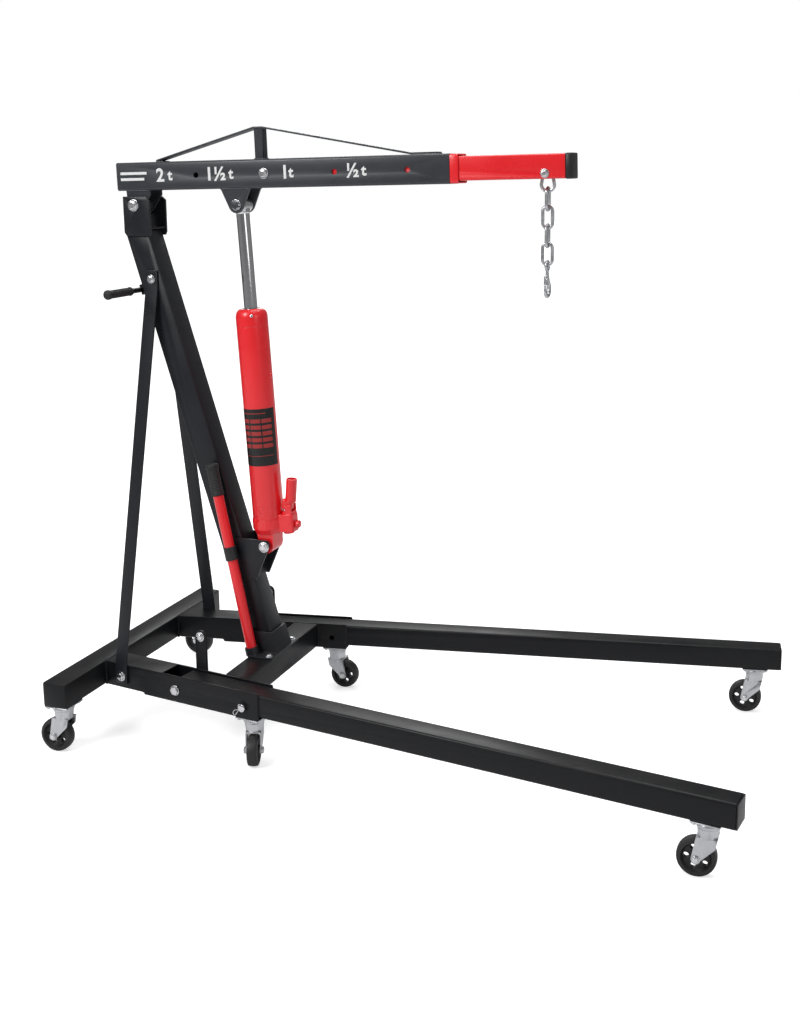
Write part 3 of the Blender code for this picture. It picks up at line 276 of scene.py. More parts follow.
looks = {
    # the frame's copy of the black paint, made darker than the mast's: painted shade for the low frame's sides
    "shadedFramePaint": {"colour": (0.008, 0.0085, 0.010), "deep": (0.004, 0.0045, 0.0055),
                   "worn": (0.06, 0.06, 0.065),
                   "rough": (0.30, 0.42), "peel": 0.16, "wear": 0.35, "dust": 0.07, "specular": 0.24,
                   "scratch": 0.06},
    "mastPaint": {"colour": (0.014, 0.015, 0.020), "deep": (0.008, 0.009, 0.012),
                  "worn": (0.08, 0.08, 0.09),
                  "rough": (0.30, 0.42), "peel": 0.16, "wear": 0.35, "dust": 0.07, "specular": 0.34,
                  "scratch": 0.08},
    "boomPaint": {"colour": (0.034, 0.038, 0.047), "deep": (0.022, 0.025, 0.031),
                  "worn": (0.12, 0.12, 0.13),
                  "rough": (0.34, 0.46), "peel": 0.16, "wear": 0.3, "dust": 0.08, "coat": 0.12,
                  "scratch": 0.10},
    "redPaint": {"colour": (0.90, 0.014, 0.022), "deep": (0.80, 0.009, 0.015), "worn": (0.35, 0.02, 0.02),
                 "rough": (0.24, 0.34), "peel": 0.14, "wear": 0.3, "dust": 0.04, "coat": 0.35,
                 "scratch": 0.06},
    "zinc": {"colour": (0.66, 0.67, 0.69), "deep": (0.48, 0.49, 0.51), "worn": (0.85, 0.85, 0.86),
             "metal": 1.0,
             "rough": (0.22, 0.42), "peel": 0.08, "peelScale": 900.0, "mottle": 55.0, "wear": 0.5,
             "dust": 0.12,
             "scratch": 0.3},
    "brightSteel": {"colour": (0.78, 0.78, 0.80), "deep": (0.62, 0.62, 0.64), "worn": (0.92, 0.92, 0.93),
                    "metal": 1.0, "rough": (0.16, 0.30), "peel": 0.05, "mottle": 90.0, "wear": 0.5,
                    "dust": 0.05},
    "chrome": {"colour": (0.80, 0.80, 0.82), "deep": (0.70, 0.70, 0.72), "worn": (0.9, 0.9, 0.9),
               "metal": 1.0,
               "rough": (0.06, 0.14), "peel": 0.02, "mottle": 30.0, "wear": 0.2, "dust": 0.02},
    "tyre": {"colour": (0.016, 0.016, 0.017), "deep": (0.008, 0.008, 0.009), "worn": (0.05, 0.05, 0.05),
             "rough": (0.42, 0.6), "peel": 0.25, "peelScale": 1400.0, "wear": 0.3, "dust": 0.15},
    "gripRubber": {"colour": (0.013, 0.013, 0.014), "deep": (0.007, 0.007, 0.008),
                   "worn": (0.04, 0.04, 0.04),
                   "rough": (0.5, 0.68), "peel": 0.3, "peelScale": 2200.0, "wear": 0.2, "dust": 0.1},
    "capPlastic": {"colour": (0.015, 0.015, 0.017), "deep": (0.009, 0.009, 0.010),
                   "worn": (0.05, 0.05, 0.05),
                   "rough": (0.34, 0.48), "peel": 0.2, "peelScale": 1600.0, "wear": 0.2, "dust": 0.08},
    "whiteInk": {"colour": (0.82, 0.82, 0.82), "deep": (0.72, 0.72, 0.73), "worn": (0.5, 0.5, 0.5),
                 "rough": (0.4, 0.55), "peel": 0.05, "wear": 0.2, "dust": 0.03},
    "labelBlack": {"colour": (0.012, 0.010, 0.011), "deep": (0.006, 0.006, 0.007),
                   "worn": (0.1, 0.05, 0.05),
                   "rough": (0.22, 0.34), "peel": 0.03, "wear": 0.3, "dust": 0.03},
    "labelRed": {"colour": (0.42, 0.030, 0.030), "deep": (0.30, 0.020, 0.020), "worn": (0.3, 0.1, 0.1),
                 "rough": (0.25, 0.36), "peel": 0.03, "wear": 0.1, "dust": 0.02},
}
finishes = {name: finishOf(name, look) for name, look in looks.items()}
print("finishes made:", len(finishes))


# mesh tools

def meshFrom(work, name="shape"):
    mesh = bpy.data.meshes.new(name)
    work.to_mesh(mesh)
    work.free()
    return mesh


def smoothed(mesh, degrees=38):
    mesh.shade_smooth()
    mesh.set_sharp_from_angle(angle=math.radians(degrees))
    return mesh


def lathe(profile, steps=64, place=Matrix(), closed=False):
    # profile of (radius, height), top to bottom down the outer side
    work = bmesh.new()
    rings = []
    for radius, height in profile:
        if radius < 1e-7:
            rings.append([work.verts.new((0, 0, height))])
            continue
        turns = [math.tau * step / steps for step in range(steps)]
        rings.append([work.verts.new((radius * math.cos(a), radius * math.sin(a),
                                      height)) for a in turns])
    pairs = list(zip(rings, rings[1:]))
    if closed:
        pairs.append((rings[-1], rings[0]))
    for above, below in pairs:
        for step in range(steps):
            after = (step + 1) % steps
            corners = [above[step % len(above)], below[step % len(below)],
                       below[after % len(below)], above[after % len(above)]]
            corners = list(dict.fromkeys(corners))
            if len(corners) > 2:
                work.faces.new(corners)
    bmesh.ops.transform(work, matrix=place, verts=work.verts)
    return smoothed(meshFrom(work))


def sweep(points, radii, sides=16, closed=False, place=Matrix()):
    # a round bar along points, with its frames carried along without twisting
    points = [Vector(point) for point in points]
    count = len(points)
    if not isinstance(radii, (list, tuple)):
        radii = [radii] * count
    work = bmesh.new()
    rings = []
    side = None
    for index, point in enumerate(points):
        before = points[index - 1] if closed or index else point
        after = points[(index + 1) % count] if closed or index < count - 1 else point
        along = (after - before).normalized()
        if side is None:
            side = along.orthogonal().normalized()
        side = (side - along * side.dot(along)).normalized()
        across = along.cross(side)
        turns = [math.tau * step / sides for step in range(sides)]
        radius = radii[index]
        rings.append([work.verts.new(point + (side * math.cos(a) + across * math.sin(a)) * radius)
                      for a in turns])
    pairs = list(zip(rings, rings[1:]))
    if closed:
        pairs.append((rings[-1], rings[0]))
    for first, second in pairs:
        for step in range(sides):
            after = (step + 1) % sides
            work.faces.new((first[step], first[after], second[after], second[step]))
    if not closed:
        work.faces.new(list(reversed(rings[0])))
        work.faces.new(rings[-1])
    bmesh.ops.transform(work, matrix=place, verts=work.verts)
    bmesh.ops.recalc_face_normals(work, faces=work.faces)
    return smoothed(meshFrom(work), 50)


def roundedBlock(low, high, radius, place=Matrix(), segments=3):
    work = bmesh.new()
    bmesh.ops.create_cube(work, size=1.0)
    low, high = Vector(low), Vector(high)
    bmesh.ops.scale(work, vec=high - low, verts=work.verts)
    bmesh.ops.translate(work, vec=(high + low) / 2, verts=work.verts)
    bmesh.ops.bevel(work, geom=work.edges[:], offset=radius, segments=segments, profile=0.5,
                    affect="EDGES")
    bmesh.ops.transform(work, matrix=place, verts=work.verts)
    return smoothed(meshFrom(work))


def together(*meshes):
    work = bmesh.new()
    for mesh in meshes:
        work.from_mesh(mesh)
    return smoothed(meshFrom(work))


def holder(mesh, name="work"):
    item = bpy.data.objects.new(name, mesh)
    bpy.context.scene.collection.objects.link(item)
    return item


def applied(item):
    bpy.context.view_layer.update()
    graph = bpy.context.evaluated_depsgraph_get()
    mesh = bpy.data.meshes.new_from_object(item.evaluated_get(graph))
    bpy.data.objects.remove(item, do_unlink=True)
    return mesh


def cutBy(mesh, cutters):
    item = holder(mesh)
    tools = [holder(cutter, "cutter") for cutter in cutters]
    for tool in tools:
        step = item.modifiers.new("cut", "BOOLEAN")
        step.object = tool
        step.solver = "EXACT"
    mesh = applied(item)
    for tool in tools:
        bpy.data.objects.remove(tool, do_unlink=True)
    return mesh


def copyOf(node):
    # a welded copy of a CAD node with its flat faces whole again
    work = bmesh.new()
    work.from_mesh(frame["nodes"][node].data)
    bmesh.ops.remove_doubles(work, verts=work.verts, dist=0.00002)
    bmesh.ops.dissolve_limit(work, angle_limit=math.radians(1.0), verts=work.verts, edges=work.edges)
    return meshFrom(work)


def refined(node, width=0.0010, angle=40):
    # the CAD shape with rounded arrises
    item = holder(copyOf(node))
    bevel = item.modifiers.new("arris", "BEVEL")
    bevel.width = width
    bevel.segments = 3
    bevel.limit_method = "ANGLE"
    bevel.angle_limit = math.radians(angle)
    bevel.harden_normals = False
    return smoothed(applied(item), 32)


def castForm(meshes, voxel=0.0009, passes=6):
    # shapes run together with soft fillets, as a casting or a forging
    work = bmesh.new()
    for mesh in meshes:
        work.from_mesh(mesh)
    item = holder(meshFrom(work))
    remesh = item.modifiers.new("run", "REMESH")
    remesh.mode = "VOXEL"
    remesh.voxel_size = voxel
    smooth = item.modifiers.new("soft", "SMOOTH")
    smooth.iterations = passes
    smooth.factor = 0.5
    mesh = applied(item)
    mesh.shade_smooth()
    return mesh


def addPiece(name, mesh, body, finish, replaced=()):
    mesh.materials.clear()
    mesh.materials.append(finishes[finish])
    piece = holder(mesh, name)
    mesh.name = name
    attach(piece, body)
    if replaced:
        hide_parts(*replaced)
    return piece


bodyOfNode = {node: body for body, nodes in frame["record"]["behaviour"]["bodies"].items() for node in nodes}


# geometry nodes: fasteners set on points, and weld beads along seams

def newTree(name, inputs):
    tree = bpy.data.node_groups.new(name, "GeometryNodeTree")
    tree.interface.new_socket("Geometry", in_out="INPUT", socket_type="NodeSocketGeometry")
    for label, kind, value in inputs:
        socket = tree.interface.new_socket(label, in_out="INPUT", socket_type=kind)
        if value is not None:
            socket.default_value = value
    tree.interface.new_socket("Geometry", in_out="OUTPUT", socket_type="NodeSocketGeometry")
    return tree, tree.nodes.new("NodeGroupInput"), tree.nodes.new("NodeGroupOutput")


def endTree(tree, given, result, instances):
    real = tree.nodes.new("GeometryNodeRealizeInstances")
    finish = tree.nodes.new("GeometryNodeSetMaterial")
    tree.links.new(instances, real.inputs[0])
    tree.links.new(real.outputs[0], finish.inputs["Geometry"])
    tree.links.new(given.outputs["Finish"], finish.inputs["Material"])
    tree.links.new(finish.outputs[0], result.inputs[0])


def makeSetOnPoints():
    tree, given, result = newTree("setOnPoints", [
        ("Part", "NodeSocketObject", None), ("Size", "NodeSocketFloat", 1.0),
        ("Seed", "NodeSocketInt", 3), ("Finish", "NodeSocketMaterial", None)])
    points = tree.nodes.new("GeometryNodeMeshToPoints")
    part = tree.nodes.new("GeometryNodeObjectInfo")
    facing = tree.nodes.new("GeometryNodeInputNamedAttribute")
    facing.data_type = "FLOAT_VECTOR"
    facing.inputs["Name"].default_value = "facing"
    align = tree.nodes.new("FunctionNodeAlignRotationToVector")
    align.axis = "Z"
    put = tree.nodes.new("GeometryNodeInstanceOnPoints")
    turn = tree.nodes.new("GeometryNodeRotateInstances")
    chance = tree.nodes.new("FunctionNodeRandomValue")
    chance.data_type = "FLOAT"
    chance.inputs[3].default_value = math.tau
    spin = tree.nodes.new("ShaderNodeCombineXYZ")
    tree.links.new(given.outputs[0], points.inputs["Mesh"])
    tree.links.new(given.outputs["Part"], part.inputs[0])
    tree.links.new(facing.outputs[0], align.inputs["Vector"])
    tree.links.new(points.outputs[0], put.inputs["Points"])
    tree.links.new(part.outputs["Geometry"], put.inputs["Instance"])
    tree.links.new(align.outputs[0], put.inputs["Rotation"])
    tree.links.new(given.outputs["Size"], put.inputs["Scale"])
    tree.links.new(given.outputs["Seed"], chance.inputs["Seed"])
    tree.links.new(chance.outputs[1], spin.inputs[2])
    tree.links.new(put.outputs[0], turn.inputs["Instances"])
    tree.links.new(spin.outputs[0], turn.inputs["Rotation"])
    endTree(tree, given, result, turn.outputs[0])
    return tree


def makeBeadAlong():
    tree, given, result = newTree("beadAlong", [
        ("Spacing", "NodeSocketFloat", 0.003), ("Radius", "NodeSocketFloat", 0.003),
        ("Seed", "NodeSocketInt", 5), ("Finish", "NodeSocketMaterial", None)])
    seam = tree.nodes.new("GeometryNodeMeshToCurve")
    points = tree.nodes.new("GeometryNodeCurveToPoints")
    points.mode = "LENGTH"
    ripple = tree.nodes.new("GeometryNodeMeshIcoSphere")
    ripple.inputs["Subdivisions"].default_value = 2
    put = tree.nodes.new("GeometryNodeInstanceOnPoints")
    chance = tree.nodes.new("FunctionNodeRandomValue")
    chance.data_type = "FLOAT"
    chance.inputs[2].default_value = 0.85
    chance.inputs[3].default_value = 1.12
    smooth = tree.nodes.new("GeometryNodeSetShadeSmooth")
    tree.links.new(given.outputs[0], seam.inputs[0])
    tree.links.new(seam.outputs[0], points.inputs["Curve"])
    tree.links.new(given.outputs["Spacing"], points.inputs["Length"])
    tree.links.new(given.outputs["Radius"], ripple.inputs["Radius"])
    tree.links.new(points.outputs["Points"], put.inputs["Points"])
    tree.links.new(ripple.outputs["Mesh"], smooth.inputs[0])
    tree.links.new(smooth.outputs[0], put.inputs["Instance"])
    tree.links.new(points.outputs["Rotation"], put.inputs["Rotation"])
    tree.links.new(given.outputs["Seed"], chance.inputs["Seed"])
    tree.links.new(chance.outputs[1], put.inputs["Scale"])
    endTree(tree, given, result, put.outputs[0])
    return tree


def runTree(tree, mesh, values):
    item = holder(mesh)
    nodes = item.modifiers.new("made", "NODES")
    nodes.node_group = tree
    keys = {socket.name: socket.identifier for socket in tree.interface.items_tree
            if socket.in_out == "INPUT"}
    for name, value in values.items():
        nodes[keys[name]] = value
    return applied(item)


setOnPoints = makeSetOnPoints()
beadAlong = makeBeadAlong()


def setFasteners(name, body, part, spots, finish="brightSteel"):
    # spots: (point, facing); part stands on its origin along +Z
    mesh = bpy.data.meshes.new("spots")
    mesh.from_pydata([point for point, facing in spots], [], [])
    attribute = mesh.attributes.new("facing", "FLOAT_VECTOR", "POINT")
    for index, (point, facing) in enumerate(spots):
        attribute.data[index].vector = facing
    source = holder(part, "part")
    made = runTree(setOnPoints, mesh, {"Part": source, "Finish": finishes[finish]})
    bpy.data.objects.remove(source, do_unlink=True)
    return addPiece(name, smoothed(made), body, finish)


def weldSeams(name, body, seams, finish, radius=0.0026):
    mesh = bpy.data.meshes.new("seams")
    points, edges = [], []
    for seam in seams:
        edges += [(len(points) + i, len(points) + i + 1) for i in range(len(seam) - 1)]
        points += [tuple(point) for point in seam]
    mesh.from_pydata(points, edges, [])
    made = runTree(beadAlong, mesh, {"Spacing": radius * 0.9, "Radius": radius,
                                     "Finish": finishes[finish]})
    made.shade_smooth()
    return addPiece(name, made, body, finish)


# small hardware

def hexHead(radius, height, washer=1.35):
    # a chamfered hex on a washer, standing on z = 0
    plate = 0.0016
    hexagon = lathe([
        (0, height), (radius * 0.62, height), (radius * 0.88, height - radius * 0.05),
        (radius, height - radius * 0.17), (radius, plate + 0.0002), (0, plate + 0.0002)], 6)
    hexagon.shade_flat()
    disc = lathe([(0, plate), (radius * washer - 0.0004, plate), (radius * washer, plate - 0.0004),
                  (radius * washer, 0.0003), (radius * washer - 0.0003, 0), (0, 0)], 40)
    return hexagon, disc


def joinFlat(*meshes):
    # as together, but each mesh keeps its own shading
    work = bmesh.new()
    for mesh in meshes:
        work.from_mesh(mesh)
    return meshFrom(work)


def boltOf(node, body, way=left, finish="brightSteel"):
    # a through bolt with head, washers, nut and thread end, filling the CAD bolt's length
    low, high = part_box(node)
    middle = (low + high) / 2
    place = placeAt(middle, way, up)
    near, far = sizeIn(node, place)
    radius = max(far.x, far.y) * 0.97
    height = {"hook_bolt": 0.006, "brace_bolt": 0.0065}.get(node, 0.008)
    shank = radius * 0.6
    parts = []
    for end, face in ((far.z, 1), (near.z, -1)):
        hexagon, disc = hexHead(radius, height - 0.0005 if face > 0 else height * 0.82, 1.12)
        flip = Matrix.Rotation(0 if face > 0 else math.pi, 4, "X")
        turn = Matrix.Translation((0, 0, end - face * height)) @ flip
        for mesh in (hexagon, disc):
            mesh.transform(place @ turn)
            parts.append(mesh)
    rod = lathe([(0, far.z - 0.002), (shank, far.z - 0.002), (shank, near.z + 0.0008),
                 (shank - 0.0008, near.z), (0, near.z)], 32, place)
    return addPiece(node + "_fine", joinFlat(rod, *parts), body, finish, (node,))


for boltNode in ("boom_hinge_bolt", "ram_lower_bolt", "brace_bolt", "hook_bolt"):
    boltOf(boltNode, bodyOfNode[boltNode])
for side in ("left", "right"):
    boltOf("leg_pivot_bolt_" + side, "base_frame", axisOf("leg_fold_" + side))
print("bolts made")


# welded frame, legs and boom: the CAD shapes with rolled edges

# the frame pieces take the darker copy of the black paint, which carries painted shade
for node in ("rear_crossbeam", "side_rail_left", "side_rail_right", "mid_crossbeam", "leg_left",
             "leg_right"):
    addPiece(node + "_fine", refined(node, 0.0009), bodyOfNode[node], "shadedFramePaint", (node,))
for node in ("mast", "mast_head_bracket", "ram_bracket", "foot_socket", "rear_brace_left",
             "rear_brace_right"):
    addPiece(node + "_fine", refined(node, 0.0009), "base_frame", "mastPaint", (node,))
for node in ("boom", "boom_stay"):
    addPiece(node + "_fine", refined(node, 0.0008), "boom", "boomPaint", (node,))
for node in ("boom_collar", "boom_extension"):
    addPiece(node + "_fine", refined(node, 0.0008), bodyOfNode[node], "redPaint", (node,))
for node in ("leg_cap_left", "leg_cap_right", "extension_cap", "handle_clip"):
    addPiece(node + "_fine", refined(node, 0.0010), bodyOfNode[node], "capPlastic", (node,))
print("frame, legs and boom made")


# casters

casterLook = {"tread": 0.006, "rimInset": 0.0125, "hubRadius": 0.0125, "holes": 5, "holeRadius": 0.0066,
              "bore": 0.0054,
              "nutInset": 0.0048}


def wheelMesh(radius, half, bore):
    tread, inset, hub = casterLook["tread"], casterLook["rimInset"], casterLook["hubRadius"]
    side = [(bore, half), (hub - 0.001, half), (hub, half - 0.001), (hub + 0.0015, half - 0.0095),
            (radius - inset - 0.003, half - 0.0095), (radius - inset, half - 0.0055),
            (radius - inset + 0.002, half - 0.0012), (radius - 0.0075, half - 0.0012),
            (radius - 0.0040, half - 0.0022)]
    for step in range(5):
        angle = math.radians(60 - 12 * step)
        side.append((radius - tread * (1 - math.cos(angle)) * 0.55,
                     (half - 0.0035) * math.sin(angle) / math.sin(1.05)))
    side.append((radius, 0.0))
    profile = side + [(r, -z) for r, z in reversed(side[:-1])]
    wheel = lathe(profile, 72, closed=True)
    ring = (hub + radius - inset) / 2 + 0.0005
    cutters = []
    for index in range(casterLook["holes"]):
        angle = math.tau * index / casterLook["holes"]
        spot = Matrix.Translation((ring * math.cos(angle), ring * math.sin(angle), 0))
        size = casterLook["holeRadius"]
        cutters.append(lathe([(0, 0.03), (size, 0.03), (size, -0.03), (0, -0.03)], 20, spot))
    return smoothed(cutBy(wheel, cutters), 34)


def makeCaster(name, host):
    fork, wheel = "caster_fork_" + name, "caster_wheel_" + name
    roll = joints["roll_" + name]
    centre = Vector(roll["pos_m"])
    across = Vector(roll["axis"])
    spinPlace = placeAt(centre, across, up)
    high = sizeIn(wheel, spinPlace)[1]
    mesh = wheelMesh(high.x, high.z, casterLook["bore"])
    mesh.transform(spinPlace)
    addPiece(wheel + "_fine", mesh, "wheel_" + name, "tyre", (wheel,))
    bush = lathe([(0.0053, high.z + 0.0008), (0.0075, high.z + 0.0008), (0.0078, high.z - 0.001),
                  (0.0078, -high.z + 0.001), (0.0075, -high.z - 0.0008), (0.0053, -high.z - 0.0008)],
                 28, spinPlace, True)
    addPiece("caster_bush_" + name, bush, "wheel_" + name, "zinc")
    addPiece(fork + "_fine", refined(fork, 0.0007), "fork_" + name, "zinc", (fork,))
    swivel = pointOf("swivel_" + name)
    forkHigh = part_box(fork)[1]
    race = Matrix.Translation((swivel.x, swivel.y, forkHigh.z))
    depth = forkHigh.z - (high.x * 2 + 0.007)
    rings = lathe([(0, -0.0002), (0.0272, -0.0002), (0.0290, -0.0022), (0.0292, -0.0045),
                   (0.0262, -0.0068),
                   (0.0268, -0.0088), (0.0258, -0.0120), (0.0225, -0.0150), (0.0205, -depth),
                   (0, -depth)], 48, race)
    addPiece("caster_race_" + name, rings, "fork_" + name, "zinc")
    nuts = []
    half = max(abs(sizeIn(fork, spinPlace)[0].z), sizeIn(fork, spinPlace)[1].z)
    for face in (1, -1):
        hexagon, disc = hexHead(0.0080, 0.0046, 1.15)
        flip = Matrix.Rotation(0 if face > 0 else math.pi, 4, "X")
        turn = Matrix.Translation((0, 0, face * (half - casterLook["nutInset"]))) @ flip
        for part in (hexagon, disc):
            part.transform(spinPlace @ turn)
            nuts.append(part)
    addPiece("caster_axle_nuts_" + name, joinFlat(*nuts), "fork_" + name, "brightSteel")
    # zinc top plate wrapped round the welded pad, and its four bolts
    heading = axisOf("leg_fold_" + name.split("_")[1]) if not name.startswith("rear") else left
    plate = placeAt(Vector((swivel.x, swivel.y, forkHigh.z)), up, heading)
    size = 0.0295 if name.startswith("front") else 0.0335
    body = roundedBlock((-0.0335, -size, 0.0001), (0.0335, size, 0.0034), 0.0009, plate)
    addPiece("caster_plate_" + name, body, host, "zinc")
    hexagon, disc = hexHead(0.0052, 0.0042, 1.2)
    spots = []
    for x in (-0.0255, 0.0255):
        for y in (-size + 0.0065, size - 0.0065):
            spots.append((plate @ Vector((x, y, 0.0001)), -up))
    setFasteners("caster_bolts_" + name, host, joinFlat(hexagon, disc), spots, "zinc")


for end in ("rear", "mid", "front"):
    for side in ("left", "right"):
        makeCaster(end + "_" + side, "leg_" + side if end == "front" else "base_frame")
print("casters made")


# hydraulic ram

ramLook = {"eye": 0.020, "rod": 0.017, "plugHeight": 0.452, "ventAngles": (-62, 118), "ventDrop": 0.016}


def makeRam():
    low, high = sizeIn("ram_cylinder", ramPlace)
    radius, bottom, top = high.x, low.z, high.z
    shell = lathe([
        (0.0174, top), (0.0278, top), (0.0312, top - 0.0012), (0.0345, top - 0.0036),
        (0.0374, top - 0.0074), (0.0396, top - 0.0126), (0.0407, top - 0.0180), (radius, top - 0.0230),
        (radius, top - 0.0440), (radius - 0.0005, top - 0.0446), (radius - 0.0005, top - 0.0456),
        (radius, top - 0.0462), (radius, bottom + 0.0030), (radius - 0.0008, bottom + 0.0008),
        (radius - 0.0022, bottom), (0.031, bottom), (0.031, top - 0.022), (0.0174, top - 0.022)], 96,
                  ramPlace, True)
    addPiece("ram_cylinder_fine", shell, "ram", "redPaint", ("ram_cylinder",))
    seal = lathe([(0.0173, top + 0.0007), (0.0205, top + 0.0007), (0.0228, top + 0.0003),
                  (0.0232, top - 0.001),
                  (0.0173, top - 0.001)], 64, ramPlace, True)
    addPiece("ram_wiper_seal", seal, "ram", "gripRubber")
    rodLow, rodHigh = sizeIn("ram_rod", ramPlace)
    eye = rodHigh.z - ramLook["eye"]
    rodRadius = ramLook["rod"]
    bar = lathe([
        (0, eye - 0.004), (0.0150, eye - 0.004), (0.0185, eye - 0.010), (0.0188, eye - 0.0195),
        (0.0178, eye - 0.0215), (rodRadius, eye - 0.0225), (rodRadius, rodLow.z + 0.002),
        (rodRadius - 0.002, rodLow.z), (0, rodLow.z)], 72, ramPlace)
    addPiece("ram_rod_fine", bar, "rod", "chrome", ("ram_rod",))
    side = ramPlace @ Matrix.Translation((0, 0, eye)) @ Matrix.Rotation(math.radians(90), 4, "X")
    head = lathe([(0.0095, 0.0235), (0.0182, 0.0235), (0.0198, 0.0222), (0.0198, -0.0222),
                  (0.0182, -0.0235),
                  (0.0095, -0.0235)], 64, side, True)
    addPiece("ram_rod_eye", head, "rod", "brightSteel")
    base = castForm([copyOf("ram_base")], 0.0008, 5)
    addPiece("ram_base_fine", base, "ram", "redPaint", ("ram_base",))
    weld = [(ramPlace @ Vector(((radius + 0.0002) * math.cos(a), (radius + 0.0002) * math.sin(a),
                                bottom + 0.0004)))
            for a in [math.tau * i / 60 for i in range(61)]]
    weldSeams("ram_base_weld", "ram", [weld], "redPaint", 0.0019)
    # vent screw by the gland, and the filler plug on the front, in red paint
    head = lathe([(0, 0.0030), (0.0026, 0.0030), (0.0040, 0.0020), (0.0044, 0.0008), (0.0044, -0.001),
                  (0, -0.001)], 32)
    spots = []
    for angle in ramLook["ventAngles"]:
        turn = math.radians(angle)
        out = ramPlace.to_3x3() @ Vector((math.cos(turn), math.sin(turn), 0.45))
        reach = radius - 0.0012
        spots.append((ramPlace @ Vector((reach * math.cos(turn), reach * math.sin(turn),
                                         top - ramLook["ventDrop"])),
                      out.normalized()))
    setFasteners("ram_vent_screws", "ram", head, spots, "brightSteel")
    plugSpot = ramPlace @ Vector((radius - 0.0012, 0, ramLook["plugHeight"]))
    plugPlace = placeAt(plugSpot, ramPlace.to_3x3() @ Vector((1, 0, 0)))
    plug = lathe([(0, 0.0050), (0.0030, 0.0048), (0.0052, 0.0036), (0.0058, 0.0020), (0.0070, 0.0012),
                  (0.0072, -0.001), (0, -0.001)], 36, plugPlace)
    addPiece("ram_filler_plug", plug, "ram", "redPaint")
    pistonLow, pistonHigh = sizeIn("ram_piston", ramPlace)
    piston = lathe([(0.0173, pistonHigh.z), (0.0285, pistonHigh.z), (0.0297, pistonHigh.z - 0.0012),
                    (0.0297, pistonHigh.z - 0.005), (0.0285, pistonHigh.z - 0.006),
                    (0.0285, pistonLow.z + 0.006),
                    (0.0297, pistonLow.z + 0.005), (0.0297, pistonLow.z + 0.001), (0.0285, pistonLow.z),
                    (0.0173, pistonLow.z)], 64, ramPlace, True)
    addPiece("ram_piston_fine", piston, "piston", "capPlastic", ("ram_piston",))
    return radius


def curvedPatch(radius, start, end, low, high, depth=0.00035, steps=24):
    # a thin patch wrapped on the ram, angles in degrees about its axis
    work = bmesh.new()
    rows = []
    for out in (radius, radius + depth):
        for height in (low, high):
            rows.append([work.verts.new(ramPlace @ Vector((
                out * math.cos(math.radians(start + (end - start) * i / steps)),
                out * math.sin(math.radians(start + (end - start) * i / steps)),
                height))) for i in range(steps + 1)])
    inLow, inHigh, outLow, outHigh = rows
    for i in range(steps):
        work.faces.new((outLow[i], outLow[i + 1], outHigh[i + 1], outHigh[i]))
        work.faces.new((inLow[i + 1], inLow[i], inHigh[i], inHigh[i + 1]))
        work.faces.new((outHigh[i], outHigh[i + 1], inHigh[i + 1], inHigh[i]))
        work.faces.new((inLow[i], inLow[i + 1], outLow[i + 1], outLow[i]))
    work.faces.new((inLow[0], outLow[0], outHigh[0], inHigh[0]))
    work.faces.new((outLow[-1], inLow[-1], inHigh[-1], outHigh[-1]))
    return smoothed(meshFrom(work), 30)


labelLook = {"low": 0.218, "high": 0.369, "start": -178, "end": -2, "columns": 3, "rows": 5}


def makeLabel(radius):
    # a plain sticker: a black band with blank red bars
    look = labelLook
    band = curvedPatch(radius, look["start"], look["end"], look["low"], look["high"])
    addPiece("ram_label", band, "ram", "labelBlack")
    bars = []
    width = (look["end"] - look["start"] - 60) / look["columns"]
    for row in range(look["rows"]):
        base = look["low"] + 0.048 + row * 0.0165
        for column in range(look["columns"]):
            start = look["start"] + 34 + column * (width + 4)
            bars.append(curvedPatch(radius + 0.0003, start, start + width, base, base + 0.0105, 0.0002,
                                    8))
    bars.append(curvedPatch(radius + 0.0003, look["start"] + 20, look["end"] - 20, look["low"] + 0.026,
                            look["low"] + 0.0275, 0.0002, 16))
    bars.append(curvedPatch(radius + 0.0003, look["start"] + 30, look["end"] - 40, look["high"] - 0.013,
                            look["high"] - 0.0105, 0.0002, 16))
    addPiece("ram_label_bars", together(*bars), "ram", "labelRed")


ramRadius = makeRam()
makeLabel(ramRadius)


def makePump():
    socketPlace = placeAt(pointOf("lever_stroke"), Vector((math.sin(0.082), 0, math.cos(0.082))))
    low, high = sizeIn("pump_socket", socketPlace)
    socket = castForm([copyOf("pump_socket")], 0.0006, 4)
    addPiece("pump_socket_fine", socket, "lever_socket", "redPaint", ("pump_socket",))
    low, high = sizeIn("pump_plunger", ramPlace)
    middle = (low + high) / 2
    stem = lathe([(0, high.z), (0.0042, high.z), (0.0052, high.z - 0.0012), (0.0052, low.z + 0.001),
                  (0.0045, low.z), (0, low.z)], 40,
                 ramPlace @ Matrix.Translation((middle.x, middle.y, 0)))
    addPiece("pump_plunger_fine", stem, "plunger", "chrome", ("pump_plunger",))
    valvePlace = placeAt(pointOf("valve_turn"), axisOf("valve_turn"))
    low, high = sizeIn("release_valve", valvePlace)
    knob = lathe([(0, high.z), (0.0078, high.z), (0.0094, high.z - 0.0012), (0.0094, high.z - 0.0105),
                  (0.0082, high.z - 0.0118), (0.0044, high.z - 0.0122), (0.0044, low.z + 0.001),
                  (0, low.z)],
                 48, valvePlace)
    addPiece("release_valve_fine", knob, "valve", "redPaint", ("release_valve",))
    ridge = roundedBlock((-0.0006, -0.0006, 0.0), (0.0006, 0.0006, 0.0092), 0.0004, segments=1)
    ridge.transform(Matrix.Translation((0, 0, high.z - 0.0110)))
    ridges = []
    for index in range(18):
        turn = Matrix.Rotation(math.tau * index / 18, 4, "Z") @ Matrix.Translation((0.0093, 0, 0))
        copy = ridge.copy()
        copy.transform(valvePlace @ turn)
        ridges.append(copy)
    addPiece("release_valve_ridges", together(*ridges), "valve", "redPaint")


makePump()
print("ram and pump made")


# chain, shackle and hook

chainLook = {"sides": 18, "turns": 14, "wire": 0.0040}


